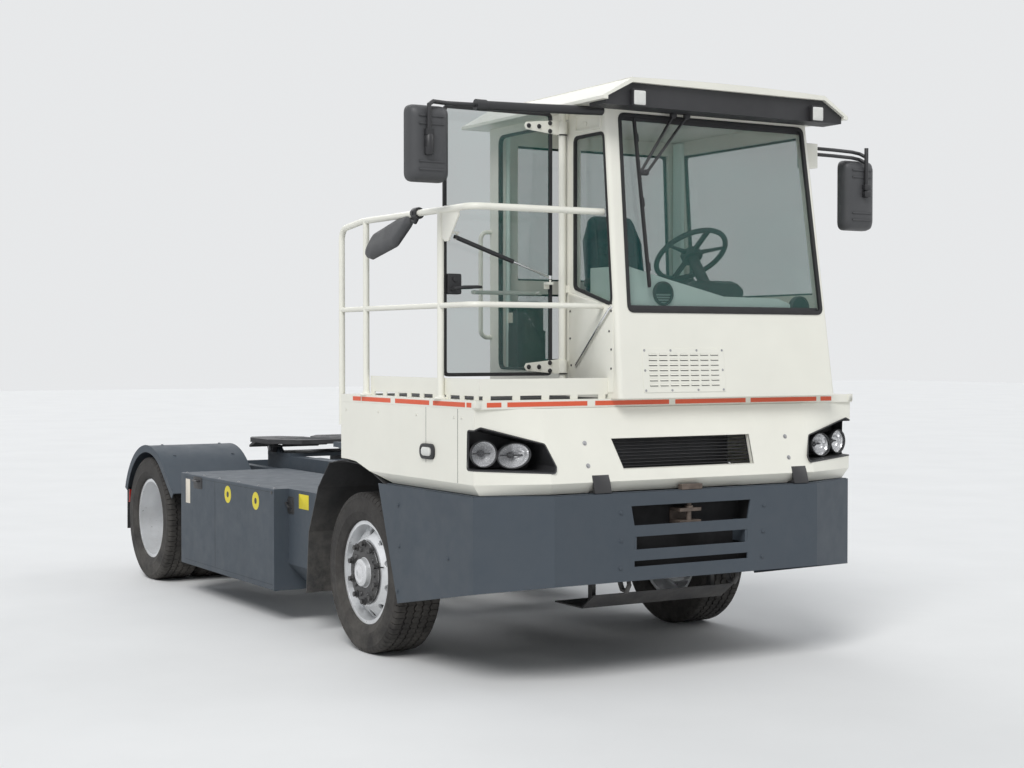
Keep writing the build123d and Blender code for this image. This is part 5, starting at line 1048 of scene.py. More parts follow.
class TRACTOR_OT_small_lamps(bpy.types.Operator):
    """Work lamps under the roof edge and tail lamps"""

    bl_idname = "tractor.small_lamps"
    bl_label = "Small lamps"

    def execute(self, context):
        cases, faces, brackets, red, amber, white, case = (Form() for _ in range(7))
        for y in (-0.345, 0.865):
            cases.stack(rounded(rectangle(y - 0.046, y + 0.046, 3.018, 3.11), 0.01, 3), along_x,
                        ((2.815, 0.02), (2.838, 0.004), (2.866, 0.0), (2.8725, 0.002), (2.8725, 0.007), (2.868, 0.009)))
            faces.stack(rounded(rectangle(y - 0.038, y + 0.038, 3.026, 3.102), 0.008, 3), along_x,
                        ((2.866, 0.0), (2.871, 0.001), (2.8735, 0.006), (2.8745, 0.022)))
            brackets.box(2.8, 2.835, y - 0.022, y + 0.022, 3.098, 3.118)
            brackets.pipe([(2.83, y + dy, z) for dy, z in
                           ((-0.052, 3.064), (-0.052, 3.112), (0.052, 3.112), (0.052, 3.064))], 0.005, 8)
        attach(cases.object("work_lamp_cases", "black_plastic"), BODY)
        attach(faces.object("work_lamp_faces", "lamp_white"), BODY)
        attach(brackets.object("work_lamp_brackets", "black_metal", bevel=0.001), BODY)
        for side in (1, -1):
            y = side * 1.08
            case.stack(rounded(rectangle(y - 0.152, y + 0.152, 0.546, 0.65), 0.016, 4), along_x,
                       ((-2.83, 0.004), (-2.836, 0.0), (-2.866, 0.0), (-2.872, 0.003), (-2.872, 0.009), (-2.866, 0.01)))
            for form, near, far in ((red, 0.02, 0.142), (amber, -0.075, 0.014), (white, -0.142, -0.081)):
                a, b = sorted((y + side * near, y + side * far))
                form.stack(rounded(rectangle(a, b, 0.556, 0.64), 0.008, 3), along_x,
                           ((-2.864, 0.0), (-2.874, 0.001), (-2.8775, 0.006), (-2.8785, 0.016)))
        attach(case.object("tail_lamp_cases", "black_plastic"), BODY)
        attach(red.object("tail_lenses", "tail_lens"), BODY)
        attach(amber.object("turn_lenses", "amber_lens"), BODY)
        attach(white.object("reverse_lenses", "lamp_white"), BODY)
        return {"FINISHED"}


def mirror_head(form, glass, side, x0, x1, z0, z1):
    """Rounded mirror shell with ribs in front and its glass on the rear face."""
    y0, y1 = sorted((side * 1.3, side * 1.534))
    outline = rounded(rectangle(y0, y1, z0, z1), 0.045, 6)
    shares = ((0.1, 0.01), (0.0, 0.004), (0.06, 0.0), (0.3, 0.0), (0.62, 0.006), (0.84, 0.02), (0.96, 0.042),
              (1.0, 0.07))
    form.stack(outline, along_x, [(x0 + (x1 - x0) * share, cut) for share, cut in shares])
    glass.stack(inset(outline, 0.012), along_x, ((x0 + 0.012, 0.0), (x0 + 0.0045, 0.0), (x0 + 0.0035, 0.002)))
    for z in (z0 + 0.06, z0 + 0.1, z1 - 0.1, z1 - 0.06):
        form.box(x1 - 0.019, x1 + 0.0045, side * 1.345, side * 1.49, z - 0.004, z + 0.004)


class TRACTOR_OT_mirrors(bpy.types.Operator):
    """Mirror heads, arms, clamps and the low mirror on the rail"""

    bl_idname = "tractor.mirrors"
    bl_label = "Mirrors"

    def execute(self, context):
        heads, glass, arms, left, left_arms, bracket, low, clamp = (Form() for _ in range(8))
        mirror_head(heads, glass, -1, 2.486, 2.575, 2.6, 2.99)
        arms.pipe([(2.64, -0.425, 3.016), (2.56, -0.8, 3.014), (2.523, -1.1, 3.012)], 0.024, 20)
        arms.pipe([(2.523, -1.09, 3.012), (2.52, -1.3, 3.008), (2.565, -1.405, 3.004), (2.585, -1.438, 2.985),
                   (2.588, -1.44, 2.94), (2.588, -1.44, 2.79)], 0.0115, 16)
        arms.lathe([(-0.03, 0.0), (-0.03, 0.03), (0.03, 0.03), (0.03, 0.0)], (2.5225, -1.105, 3.012), 28)
        for z in (2.845, 2.79):
            arms.box(2.57, 2.603, -1.462, -1.418, z - 0.016, z + 0.016)
        arms.lathe([(-0.055, 0.0), (-0.055, 0.019), (-0.045, 0.023), (0.04, 0.023), (0.05, 0.016), (0.05, 0.0)],
                   (2.588, -1.44, 2.785), 24, axis="z")
        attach(heads.object("right_mirror_head", "mirror_plastic"), BODY)
        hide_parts("right_mirror")
        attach(arms.object("right_mirror_arm", "black_metal"), BODY)
        mirror_head(left, glass, 1, 2.536, 2.622, 2.45, 2.86)
        bracket.box(2.595, 2.655, cab_left(2.85) - 0.012, 1.05, 2.79, 2.93)
        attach(bracket.object("left_mirror_bracket", "white_paint", bevel=0.003), BODY)
        for z in (2.872, 2.906):
            left_arms.pipe([(2.633, 1.03, z), (2.625, 1.2, z), (2.6, 1.36, z), (2.592, 1.425, z - 0.006),
                            (2.634, 1.44, z - 0.03)], 0.0105, 14)
        left_arms.pipe([(2.634, 1.44, 2.93), (2.634, 1.44, 2.64)], 0.012, 16)
        for z in (2.7, 2.66):
            left_arms.box(2.616, 2.65, 1.418, 1.462, z - 0.016, z + 0.016)
        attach(left.object("left_mirror_head", "mirror_plastic"), BODY)
        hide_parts("left_mirror")
        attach(left_arms.object("left_mirror_arm", "black_metal", bevel=0.001), BODY)
        centre, along, up = Vector((1.735, -1.238, 2.372)), Vector((0.985, 0.0, 0.172)), Vector((-0.164, 0.3, 0.94))
        up = (up - along * up.dot(along)).normalized()
        out = along.cross(up).normalized()
        if out.y > 0:
            out = -out
        outline = rounded([(-0.275, -0.055), (-0.18, -0.092), (0.12, -0.085), (0.255, 0.01), (0.275, 0.07),
                           (0.12, 0.08), (-0.2, 0.062)], 0.05, 6)
        low.stack(outline, lambda u, v, w: centre + along * u + up * v + out * w,
                  ((-0.012, 0.016), (-0.016, 0.006), (-0.01, 0.0), (0.006, 0.0), (0.02, 0.01), (0.028, 0.026),
                   (0.031, 0.048)))
        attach(low.object("low_mirror_head", "mirror_plastic"), BODY)
        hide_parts("right_low_mirror")
        rail, ball = Vector((2.06, -1.232, 2.48)), centre + along * 0.235 + up * 0.045
        clamp.lathe([(-0.028, 0.0185), (-0.028, 0.029), (-0.022, 0.032), (0.022, 0.032), (0.028, 0.029),
                     (0.028, 0.0185)], rail, 32, axis="x")
        clamp.pipe([rail + Vector((0, -0.002, -0.026)), rail + Vector((-0.015, -0.004, -0.046)), ball],
                   [0.013, 0.012, 0.01], 16)
        clamp.lathe([(-0.02, 0.0), (-0.018, 0.012), (-0.008, 0.019), (0.008, 0.019), (0.018, 0.012), (0.02, 0.0)],
                    ball, 24)
        for y in (rail.y - 0.03, rail.y + 0.03):
            clamp.box(rail.x - 0.012, rail.x + 0.012, y - 0.008, y + 0.008, 2.47, 2.49)
        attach(clamp.object("low_mirror_clamp", "black_metal"), BODY)
        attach(glass.object("mirror_glass", "chrome"), BODY)
        return {"FINISHED"}


# Inside of the cab

SEAT_X, SEAT_Y, FLOOR_Z = FRONT_AXLE + 0.56, 0.38, 1.53
BACK_FOOT_X = SEAT_X - 0.23
VOXEL, QUICK_VOXEL, CLOTH_FRAMES, CLOTH_REACH = 0.006, 0.014, 20, 0.011
CLOTH = {"use_pressure": True, "quality": 5, "mass": 0.3, "tension_stiffness": 15, "compression_stiffness": 15,
         "bending_stiffness": 0.5}


def pad(name, outline, place, pressure):
    """Seat pad over a rounded outline: pulled in at its two faces, filled by pressure as cloth and refined."""
    form = Form()
    form.stack(outline, place, ((0.0, 0.03), (0.1, 0.006), (0.5, 0.0), (0.9, 0.006), (1.0, 0.03)))
    made = form.object(name, "seat_fabric", smooth=0)
    remesh = made.modifiers.new("remesh", "REMESH")
    remesh.mode = "VOXEL"
    remesh.voxel_size = VOXEL
    apply_modifiers(made)
    rest = [vert.co.copy() for vert in made.data.vertices]
    cloth = made.modifiers.new("cloth", "CLOTH")
    for key, value in CLOTH.items():
        setattr(cloth.settings, key, value)
    cloth.settings.uniform_pressure_force = pressure
    cloth.settings.effector_weights.gravity = 0.0
    cloth.point_cache.frame_start = 1
    cloth.point_cache.frame_end = CLOTH_FRAMES
    scene = bpy.context.scene
    for number in range(1, CLOTH_FRAMES + 1):
        scene.frame_set(number)
    apply_modifiers(made)
    scene.frame_set(1)
    for vert, start in zip(made.data.vertices, rest):
        move = vert.co - start
        if move.length > CLOTH_REACH:
            vert.co = start + move.normalized() * CLOTH_REACH
    fine = made.modifiers.new("fine", "SUBSURF")
    fine.levels = fine.render_levels = 1
    apply_modifiers(made)
    made.data.materials.clear()
    made.data.materials.append(finish("seat_fabric"))
    made.data.shade_smooth()
    return made


def press_channels(made, up, edge, offsets):
    """Push sewn channels into the face of a pad that looks along an axis: two at the edges, the rest at offsets."""
    vertices = made.data.vertices
    across = 0 if up == 2 else 2
    moves = []
    for vert in vertices:
        depth = 0.0
        if vert.normal[up] >= 0.3:
            aside = abs(vert.co.y - SEAT_Y)
            row = min(abs(vert.co[across] - offset) for offset in offsets)
            depth = 0.008 * math.exp(-((aside - edge) / 0.006) ** 2)
            depth += 0.004 * math.exp(-(row / 0.005) ** 2) if aside < edge else 0.0
        moves.append(vert.normal * -depth)
    for vert, move in zip(vertices, moves):
        vert.co += move


class TRACTOR_OT_seat(bpy.types.Operator):
    """Padded driver's seat, its cushion and back swelled as cloth"""

    bl_idname = "tractor.seat"
    bl_label = "Seat"

    def execute(self, context):
        pressure = context.scene.tractor_sizes.pressure
        z0, z1 = FLOOR_Z + 0.3605, FLOOR_Z + 0.458

        def cushion_place(u, v, share):
            front = max(0.0, (u - SEAT_X) / 0.236)
            return (u, v, z0 + (z1 - z0) * share - 0.012 * front ** 2 * share)

        plan = rounded(rectangle(SEAT_X - 0.216, SEAT_X + 0.236, SEAT_Y - 0.232, SEAT_Y + 0.232), 0.06, 6)
        cushion = pad("seat_pad", plan, cushion_place, pressure)
        press_channels(cushion, 2, 0.155, [SEAT_X + dx for dx in (-0.13, -0.05, 0.03, 0.11)])
        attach(cushion, BODY)
        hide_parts("seat_cushion")
        low, high = FLOOR_Z + 0.412, FLOOR_Z + 1.04
        lean = (0.198 - 0.1) / 0.66

        def back_place(u, v, share):
            return (BACK_FOOT_X - 0.014 - 0.075 * share - lean * (v - FLOOR_Z - 0.4), u, v)

        outline = rounded([(SEAT_Y - 0.222, low), (SEAT_Y + 0.222, low), (SEAT_Y + 0.215, high - 0.16),
                           (SEAT_Y + 0.15, high), (SEAT_Y - 0.15, high), (SEAT_Y - 0.215, high - 0.16)], 0.06, 6)
        back = pad("seat_rest", outline, back_place, pressure)
        press_channels(back, 0, 0.14, [FLOOR_Z + dz for dz in (0.52, 0.61, 0.7, 0.79, 0.88)])
        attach(back, BODY)
        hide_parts("seat_back")
        trim = Form()
        for side in (1, -1):
            y = SEAT_Y + side * 0.275
            trim.pipe([(SEAT_X - 0.235, y - side * 0.05, 2.13), (SEAT_X - 0.235, y - side * 0.01, 2.135),
                       (SEAT_X - 0.19, y, 2.14)], 0.013, 12)
            arm = rounded(rectangle(SEAT_X - 0.21, SEAT_X + 0.1, y - 0.032, y + 0.032), 0.028, 5)
            trim.stack(arm, along_z, ((2.128, 0.008), (2.136, 0.0), (2.158, 0.0), (2.168, 0.006), (2.171, 0.016)))
        bellows = rectangle(SEAT_X - 0.165, SEAT_X + 0.135, SEAT_Y - 0.15, SEAT_Y + 0.15)
        trim.stack(bellows, along_z, [(FLOOR_Z + 0.062 + 0.268 * i / 12, 0.012 * (i % 2)) for i in range(13)])
        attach(trim.object("seat_trim", "black_plastic"), BODY)
        return {"FINISHED"}


class TRACTOR_OT_cab_fittings(bpy.types.Operator):
    """Dash vents, instrument hood, steering hub, lining, box by the door, mat and gear selector"""

    bl_idname = "tractor.cab_fittings"
    bl_label = "Cab fittings"

    def execute(self, context):
        vents, rims, hood, hub, lining, box, label, mat, lever = (Form() for _ in range(9))
        for y, z in ((-0.092, 2.05), (0.853, 1.985)):
            x = cab_front(z) - 0.036
            rims.lathe([(-0.02, 0.066), (0.006, 0.066), (0.012, 0.06), (0.01, 0.052), (-0.02, 0.052)], (x, y, z), 40,
                       axis="x")
            vents.lathe([(-0.02, 0.0), (-0.02, 0.053), (-0.004, 0.053), (-0.004, 0.0)], (x, y, z), 40, axis="x")
            for rise in (0.014 * k for k in range(-3, 4)):
                half = math.sqrt(0.05 ** 2 - rise ** 2)
                vents.box(x - 0.004, x + 0.007, y - half, y + half, z + rise - 0.0025, z + rise + 0.0025)
        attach(rims.object("dash_vent_rims", "black_plastic"), BODY)
        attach(vents.object("dash_vent_fins", "black_rubber", smooth=20), BODY)
        cx, cz = FRONT_AXLE + 1.175, 2.045
        arch = rounded([(-0.155, 0.0), (-0.15, 0.05), (-0.095, 0.09), (0.095, 0.09), (0.15, 0.05), (0.155, 0.0)],
                       0.05, 5)
        hood.loft([[(cx + x, SEAT_Y + u * grow, cz + v * grow) for u, v in arch]
                   for x, grow in ((0.16, 0.8), (0.1, 0.96), (0.0, 1.0), (-0.045, 1.0), (-0.052, 0.95))])
        screen = rectangle(SEAT_Y - 0.115, SEAT_Y + 0.115, cz + 0.016, cz + 0.076)
        hood.prism(rounded(screen, 0.02, 4), cx - 0.053, cx - 0.057, along_x)
        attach(hood.object("instrument_hood", "black_plastic"), BODY)
        tilt = Vector((-math.sin(math.radians(38)), 0, math.cos(math.radians(38))))
        centre = Vector((FRONT_AXLE + 1.01, SEAT_Y, 2.29))
        dish(hub, centre, tilt, 0.06, 0.06,
             [(-0.03, 0.0), (-0.03, 1.0), (0.012, 1.0), (0.02, 0.86), (0.024, 0.5), (0.025, 0.0)])
        across = Vector((0, 1, 0))
        up = tilt.cross(across).normalized()
        for angle in (20, 160, 270):
            a = math.radians(angle)
            toward = across * math.cos(a) - up * math.sin(a)
            hub.pipe([centre + toward * 0.05 + tilt * 0.004, centre + toward * 0.12 + tilt * 0.002,
                      centre + toward * 0.203], [0.015, 0.011, 0.009], 12)
        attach(hub.object("steering_hub", "black_plastic"), BODY)
        for y0, y1 in ((-0.386, -0.35), (0.88, 0.915)):
            lining.prism(rounded(rectangle(1.478, 1.56, y0, y1), 0.012, 3), 1.535, 3.035, along_z)
        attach(lining.object("post_lining", "interior_plastic"), BODY)
        box.stack(rounded(rectangle(1.53, 1.655, -0.366, -0.18), 0.012, 3), along_z,
                  ((1.86, 0.0), (2.02, 0.0), (2.028, -0.006), (2.03, -0.014)), offset_outline)
        box.lathe([(0.0, 0.0), (0.0, 0.012), (0.014, 0.01), (0.014, 0.0)], (1.6, -0.37, 1.98), 20)
        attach(box.object("entry_box_lid", "black_plastic"), BODY)
        label.box(1.545, 1.61, -0.3688, -0.3672, 1.905, 1.965)
        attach(label.object("entry_box_label", "pale_label", smooth=0), BODY)
        for x in (1.62 + i * 0.085 for i in range(9)):
            mat.box(x, x + 0.05, -0.34, 0.12, 1.5302, 1.5345)
        mat.box(1.6, 2.4, -0.37, 0.14, 1.53, 1.5318)
        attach(mat.object("floor_mat", "black_rubber", smooth=20), BODY)
        lever.pipe([(2.28, 0.16, 1.8), (2.262, 0.165, 1.96), (2.25, 0.168, 2.06)], 0.007, 10)
        lever.lathe([(-0.03, 0.0), (-0.028, 0.016), (0.0, 0.021), (0.022, 0.017), (0.03, 0.0)],
                    (2.248, 0.169, 2.078), 20, axis="z")
        lever.box(2.2, 2.36, 0.12, 0.21, 1.53, 1.83)
        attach(lever.object("gear_selector", "black_plastic", bevel=0.002), BODY)
        return {"FINISHED"}


# Lockers, deck, roof and coupling


class TRACTOR_OT_locker_fittings(bpy.types.Operator):
    """Latches, lid seams, screws, rings and blank labels of the side lockers"""

    bl_idname = "tractor.locker_fittings"
    bl_label = "Locker fittings"

    def execute(self, context):
        dark, yellow, pale, seams, handles = (Form() for _ in range(5))
        top = 0.86
        for side in (1, -1):
            wall, small = side * HALF_WIDTH, side * (HALF_WIDTH - 0.1)
            for form, y, outline, proud, radius in (
                    (dark, wall, (-1.33, -1.155, 0.765, 0.85), 0.001, 0.02),
                    (dark, wall, (-1.318, -1.168, 0.776, 0.84), 0.004, 0.016),
                    (pale, wall, (-1.488, -1.402, 0.651, 0.822), 0.0008, 0.004),
                    (dark, small, (0.105, 0.215, 0.7, 0.812), 0.0012, 0.02),
                    (dark, small, (0.118, 0.202, 0.712, 0.8), 0.006, 0.016),
                    (yellow, small, (0.29, 0.44, 0.746, 0.838), 0.0008, 0.004)):
                steps = [(y + side * rise, grow) for rise, grow in
                         ((-0.001, 0.0), (proud, 0.0), (proud + 0.0006, -0.001))]
                form.stack(rounded(rectangle(*outline), radius, 4), along_y, steps, offset_outline)
            for y, size, points in (
                    (wall, 0.006, ((-1.29, 0.004, 0.826), (-1.29, 0.024, 0.822), (-1.2, 0.024, 0.822),
                                   (-1.2, 0.004, 0.826))),
                    (small, 0.0055, ((0.135, 0.006, 0.775), (0.135, 0.026, 0.77), (0.185, 0.026, 0.745),
                                     (0.185, 0.006, 0.74)))):
                handles.pipe([(x, y + side * off, z) for x, off, z in points], size, 12)
            for x, z in ((-0.673, 0.768), (-0.18, 0.762)):
                for form, outer, proud in ((yellow, 0.058, 0.0008), (dark, 0.02, 0.0014)):
                    form.lathe(outward(side, [(proud, 0.0), (proud, outer), (-0.001, outer), (-0.001, 0.0)]),
                               (x, wall, z), 40)
            for x0, x1, z0, z1 in ((-1.5, 0.105, 0.2455, 0.2475), (-1.5, 0.105, 0.8365, 0.838),
                                   (-0.9145, -0.9125, 0.252, 0.834)):
                seams.box(x0, x1, wall - side * 0.001, wall + side * 0.0006, z0, z1)
            handles.lathe(outward(side, [(-0.002, 0.0), (-0.002, 0.012), (0.003, 0.011), (0.004, 0.0)]),
                          (0.088, wall, 0.835), 20)
        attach(dark.object("locker_recesses", "black_plastic"), BODY)
        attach(yellow.object("locker_rings", "yellow_film"), BODY)
        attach(pale.object("locker_labels", "pale_label"), BODY)
        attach(seams.object("locker_seams", "black_rubber", smooth=0), BODY)
        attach(handles.object("locker_handles", "black_metal"), BODY)
        places = [((x, side * (HALF_WIDTH - 0.03), top), (0, 0, 1)) for side in (1, -1)
                  for x in (-1.54, -1.2, -0.9, -0.55, -0.2, 0.06)]
        screws("locker_lid_screws", places, 0.007, 0.004, "zinc")
        return {"FINISHED"}


class TRACTOR_OT_cab_screws(bpy.types.Operator):
    """Screws, cover and recess frame of the cab wall, roof ribs, rail feet and deck tread"""

    bl_idname = "tractor.cab_screws"
    bl_label = "Cab screws"

    def execute(self, context):
        wall = [((x, CAB_RIGHT_Y, z), (0, -1, 0)) for x, z in
                ((2.618, 1.975), (2.735, 1.953), (2.335, 1.958), (2.346, 1.663), (2.735, 1.649), (2.716, 1.846),
                 (2.335, 1.81), (2.735, 1.75), (2.48, 1.54), (2.62, 1.54))]
        screws("wall_screws", wall, 0.006, 0.004, "dark_iron", sides=16)
        panel, upper, roof, posts, tread = (Form() for _ in range(5))
        panel.stack(rounded([(2.318, 1.52), (2.752, 1.52), (2.752, 1.968), (2.318, 2.06)], 0.01, 3), on_right_wall,
                    ((-0.001, 0.0), (0.0018, 0.0), (0.0026, -0.0012)), offset_outline)
        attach(panel.object("wall_cover", "white_paint"), BODY)
        line = rounded(rectangle(2.385, 2.635, 2.925, 3.02), 0.012, 3)
        upper.frame(line, offset_outline(line, -0.012), on_right_wall,
                    ((0, 0.01), (1, 0.01), (1, -0.001), (0, -0.001)))
        upper.prism(rounded(rectangle(2.445, 2.495, 2.955, 2.975), 0.009, 4), -0.001, 0.004, on_right_wall)
        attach(upper.object("wall_recess_frame", "white_paint", smooth=30), BODY)
        for y in (-0.385, 0.92):
            roof.pipe([(1.362, y, 3.1685), (2.86, y, 3.1685)], 0.003, 8)
        for x in (1.75, 2.2, 2.62):
            rings = []
            for y in (-0.38 + 1.295 * k / 16 for k in range(17)):
                z = 3.168 + 0.012 * (1 - ((y - 0.2675) / 0.6525) ** 2)
                rings.append([(x + dx, y, z + dz) for dx, dz in
                              ((-0.012, -0.002), (-0.006, 0.0035), (0.006, 0.0035), (0.012, -0.002))])
            roof.loft(rings)
        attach(roof.object("roof_ribs", "white_paint"), BODY)
        for x in (FRONT_AXLE + 0.1, FRONT_AXLE + 0.99):
            posts.lathe([(0.0, 0.018), (0.0, 0.04), (0.006, 0.04), (0.008, 0.036), (0.01, 0.024), (0.022, 0.0205),
                         (0.022, 0.018)], (x, -1.232, DECK_TOP), 36, axis="z")
        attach(posts.object("rail_feet", "white_paint"), BODY)
        tread.loft([[(u * 0.8 + v, u - v * 0.6, w) for u, v in
                     ((-0.016, 0.0), (0.0, 0.0022), (0.016, 0.0), (0.0, -0.0022))] for w in (0.0, 0.0016)])
        made = tread.object("deck_tread", "white_paint", smooth=0)
        repeat(made, "cell_grid", {"Columns": 34, "Rows": 15, "Start": (1.2, -1.17, DECK_TOP),
                                   "Column step": (0.043, 0.0, 0.0), "Row step": (0.0, 0.046, 0.0)}, "white_paint")
        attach(made, BODY)
        return {"FINISHED"}


class TRACTOR_OT_coupling_fittings(bpy.types.Operator):
    """Lock jaw, release bar, ribs and grease of the fifth wheel, frame bolts and pivot caps"""

    bl_idname = "tractor.coupling_fittings"
    bl_label = "Coupling fittings"

    def execute(self, context):
        cx, low = REAR_AXLE + 0.28, 1.026
        jaw, ribs, groove, grease = (Form() for _ in range(4))
        shape = [(0.06, 0.012), (0.12, 0.06), (0.08, 0.15), (-0.08, 0.13), (-0.11, 0.06), (-0.03, 0.036),
                 (0.03, 0.03)]
        for side in (1, -1):
            jaw.prism(rounded([(cx + x, side * y) for x, y in shape], 0.012, 3), low - 0.014, low + 0.01, along_z)
        jaw.box(cx + 0.1, cx + 0.19, -0.03, 0.03, low - 0.014, low - 0.0005)
        jaw.pipe([(cx + 0.15, -0.02, low - 0.018), (cx + 0.15, -0.36, low - 0.018), (cx + 0.13, -0.42, low - 0.022)],
                 0.008, 14)
        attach(jaw.object("lock_jaw", "dark_iron", bevel=0.002), "fifth_wheel")
        section = [(cx + 0.1, low), (cx + 0.27, low), (cx + 0.25, low - 0.018), (cx + 0.12, low - 0.018)]
        for y in (-0.3, -0.16, 0.16, 0.3):
            ribs.prism(section, y - 0.006, y + 0.006, along_y)
        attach(ribs.object("coupling_ribs", "dark_iron", bevel=0.001), "fifth_wheel")
        for radius in (0.13, 0.215, 0.3):
            path = [(radius * math.cos(a), radius * math.sin(a)) for a in map(math.radians, range(-128, 129, 8))]
            groove.pipe([(cx + x, y, 1.0603) for x, y in path if x > -0.1 or abs(y) > 0.16], 0.0035, 6)
        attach(groove.object("grease_grooves", "engine_metal"), "fifth_wheel")
        bolts = []
        for side in (1, -1):
            facing = (0, side, 0)
            for x in [REAR_AXLE - 0.35 + 0.06 * i for i in range(14)] + [0.3 + 0.07 * i for i in range(6)]:
                bolts += [((x, side * 0.43, z), facing) for z in (0.79, 0.64)]
            bolts += [((x, side * 0.395, 0.856), facing) for x in (-0.567, -0.417, -0.267)]
            grease.lathe(outward(side, [(0.362, 0.0), (0.362, 0.02), (0.372, 0.017), (0.374, 0.0)]), (cx, 0, 0.985), 24)
        screws("frame_bolts", bolts, 0.011, 0.01, "dark_iron", washer=1.6)
        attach(grease.object("pivot_caps", "zinc"), "lift_boom")
        return {"FINISHED"}


class TRACTOR_OT_fender_fittings(bpy.types.Operator):
    """Beading and screws of the fenders, and mudflaps"""

    bl_idname = "tractor.fender_fittings"
    bl_label = "Fender fittings"

    def execute(self, context):
        bead, flaps = Form(), Form()

        def arc(radius, degrees):
            """X and Z on a circle round the rear axle."""
            a = math.radians(degrees)
            return REAR_AXLE + radius * math.cos(a), AXLE_Z + radius * math.sin(a)

        path = [arc(0.5525, degrees) for degrees in range(159, 49, -5)]
        a = math.radians(50)
        path.append((path[-1][0] + 0.3 * math.sin(a), path[-1][1] - 0.3 * math.cos(a)))
        x, z = arc(0.549, 159)
        flap = [(x + 0.006, z + 0.02), (x + 0.001, z + 0.02), (x - 0.004, 0.34), (x + 0.003, 0.34)]
        for side in (1, -1):
            bead.pipe([(px, side * (HALF_WIDTH - 0.003), pz) for px, pz in path], 0.0045, 8)
            flaps.prism(flap, side * 0.6, side * 1.235, along_y)
        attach(bead.object("fender_bead", "chassis_paint"), BODY)
        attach(flaps.object("mudflaps", "black_rubber", bevel=0.001), BODY)
        places = []
        for side in (1, -1):
            for degrees in (150, 120, 92, 62):
                x, z = arc(0.552, degrees)
                facing = (math.cos(math.radians(degrees)), 0, math.sin(math.radians(degrees)))
                places += [((x, side * y, z), facing) for y in (0.66, 1.12)]
        screws("fender_screws", places, 0.009, 0.005, "chassis_paint", sides=16)
        return {"FINISHED"}


# Stage

CAMERA_PLACE, CAMERA_AIM, CAMERA_LENS = (10.208, -5.486, 1.759), (0.95, 0.02, 1.53), 60.0
FLOOR_REACH, LAMP_DISTANCE = 60, 20.0


def soft_light(name, azimuth, elevation, spread, strength):
    """Broad even lamp, far off at an azimuth from +X and an elevation, in degrees."""
    lamp = bpy.data.lights.new(name, "SUN")
    lamp.angle = math.radians(spread)
    lamp.energy = strength
    made = link_object(name, lamp)
    a, e = math.radians(azimuth), math.radians(elevation)
    toward = Vector((math.cos(e) * math.cos(a), math.cos(e) * math.sin(a), math.sin(e)))
    made.location = toward * LAMP_DISTANCE
    made.rotation_euler = (-toward).to_track_quat("-Z", "Y").to_euler()


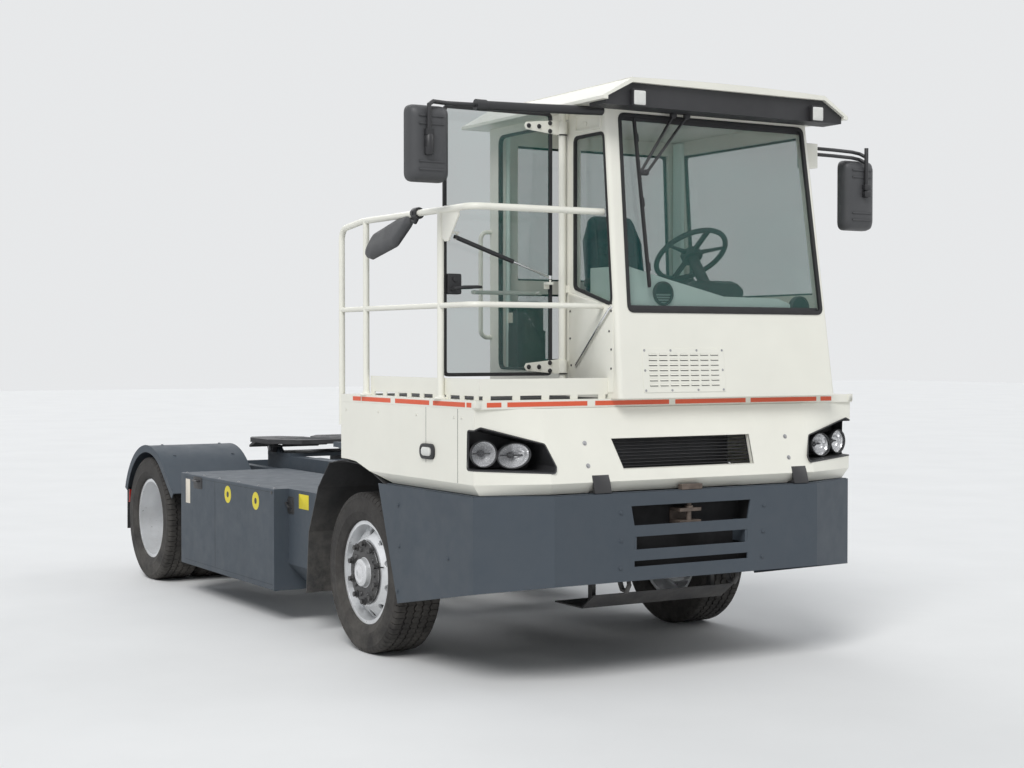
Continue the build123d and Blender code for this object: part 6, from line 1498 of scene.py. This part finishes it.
class TRACTOR_OT_stage(bpy.types.Operator):
    """Pale floor, soft lamps, world and the camera"""

    bl_idname = "tractor.stage"
    bl_label = "Stage"

    def execute(self, context):
        scene = context.scene
        floor = Form()
        floor.faces([(*corner, 0) for corner in rectangle(-FLOOR_REACH, FLOOR_REACH, -FLOOR_REACH, FLOOR_REACH)],
                    [(0, 1, 2, 3)])
        floor.object("floor", "pale_floor", smooth=0)
        soft_light("key", -46.0, 46.0, 28.0, 1.95)
        soft_light("fill", 72.0, 34.0, 40.0, 0.4)
        soft_light("rim", 172.0, 38.0, 40.0, 0.5)
        world = bpy.data.worlds.new("studio")
        scene.world = world
        world.use_nodes = True
        tree = world.node_tree
        tree.nodes.clear()
        rays = add_node(tree, "ShaderNodeLightPath").node.outputs
        seen = calc(tree, rays["Is Camera Ray"], rays["Is Glossy Ray"], "MAXIMUM")
        seen = calc(tree, seen, rays["Is Transmission Ray"], "MAXIMUM")
        light = add_node(tree, "ShaderNodeBackground", {"Color": (0.88, 0.93, 1.0, 1.0), "Strength": 0.42})
        shown = add_node(tree, "ShaderNodeBackground", {"Color": (0.8, 0.81, 0.82, 1.0), "Strength": 1.0})
        mixed = add_node(tree, "ShaderNodeMixShader", {0: seen, 1: light, 2: shown})
        add_node(tree, "ShaderNodeOutputWorld", {0: mixed})
        lens = bpy.data.cameras.new("camera")
        lens.lens = CAMERA_LENS
        lens.clip_end = 300.0
        camera = link_object("camera", lens)
        camera.location = CAMERA_PLACE
        camera.rotation_euler = (Vector(CAMERA_AIM) - camera.location).to_track_quat("-Z", "Y").to_euler()
        scene.camera = camera
        scene.view_settings.view_transform = "Standard"
        return {"FINISHED"}


STEPS = (
    TRACTOR_OT_paint, TRACTOR_OT_tyres, TRACTOR_OT_wheel_fittings, TRACTOR_OT_body_trim, TRACTOR_OT_louvres,
    TRACTOR_OT_bumper_fittings, TRACTOR_OT_gaskets, TRACTOR_OT_door_fittings, TRACTOR_OT_wiper,
    TRACTOR_OT_headlamps, TRACTOR_OT_small_lamps, TRACTOR_OT_mirrors, TRACTOR_OT_seat, TRACTOR_OT_cab_fittings,
    TRACTOR_OT_locker_fittings, TRACTOR_OT_cab_screws, TRACTOR_OT_coupling_fittings, TRACTOR_OT_fender_fittings,
    TRACTOR_OT_stage,
)


class TRACTOR_PT_panel(bpy.types.Panel):
    """Sidebar panel with the colours, the sizes and every step"""

    bl_label = "Terminal tractor"
    bl_idname = "TRACTOR_PT_panel"
    bl_space_type = "VIEW_3D"
    bl_region_type = "UI"
    bl_category = "Tractor"

    def draw(self, context):
        layout = self.layout
        for group in (context.scene.tractor_look, context.scene.tractor_sizes):
            box = layout.box()
            for name in group.bl_rna.properties.keys():
                if name not in ("rna_type", "name"):
                    box.prop(group, name)
        for step in STEPS:
            layout.operator(step.bl_idname)


CLASSES = (TractorLook, TractorSizes, *STEPS, TRACTOR_PT_panel)


def register():
    for item in CLASSES:
        bpy.utils.register_class(item)
    bpy.types.Scene.tractor_look = PointerProperty(type=TractorLook)
    bpy.types.Scene.tractor_sizes = PointerProperty(type=TractorSizes)


def unregister():
    del bpy.types.Scene.tractor_sizes
    del bpy.types.Scene.tractor_look
    for item in reversed(CLASSES):
        bpy.utils.unregister_class(item)


def main():
    """Build every piece in order."""
    register()
    for step in STEPS:
        group, name = step.bl_idname.split(".")
        getattr(getattr(bpy.ops, group), name)()
    bpy.context.view_layer.update()


if __name__ == "__main__":
    main()
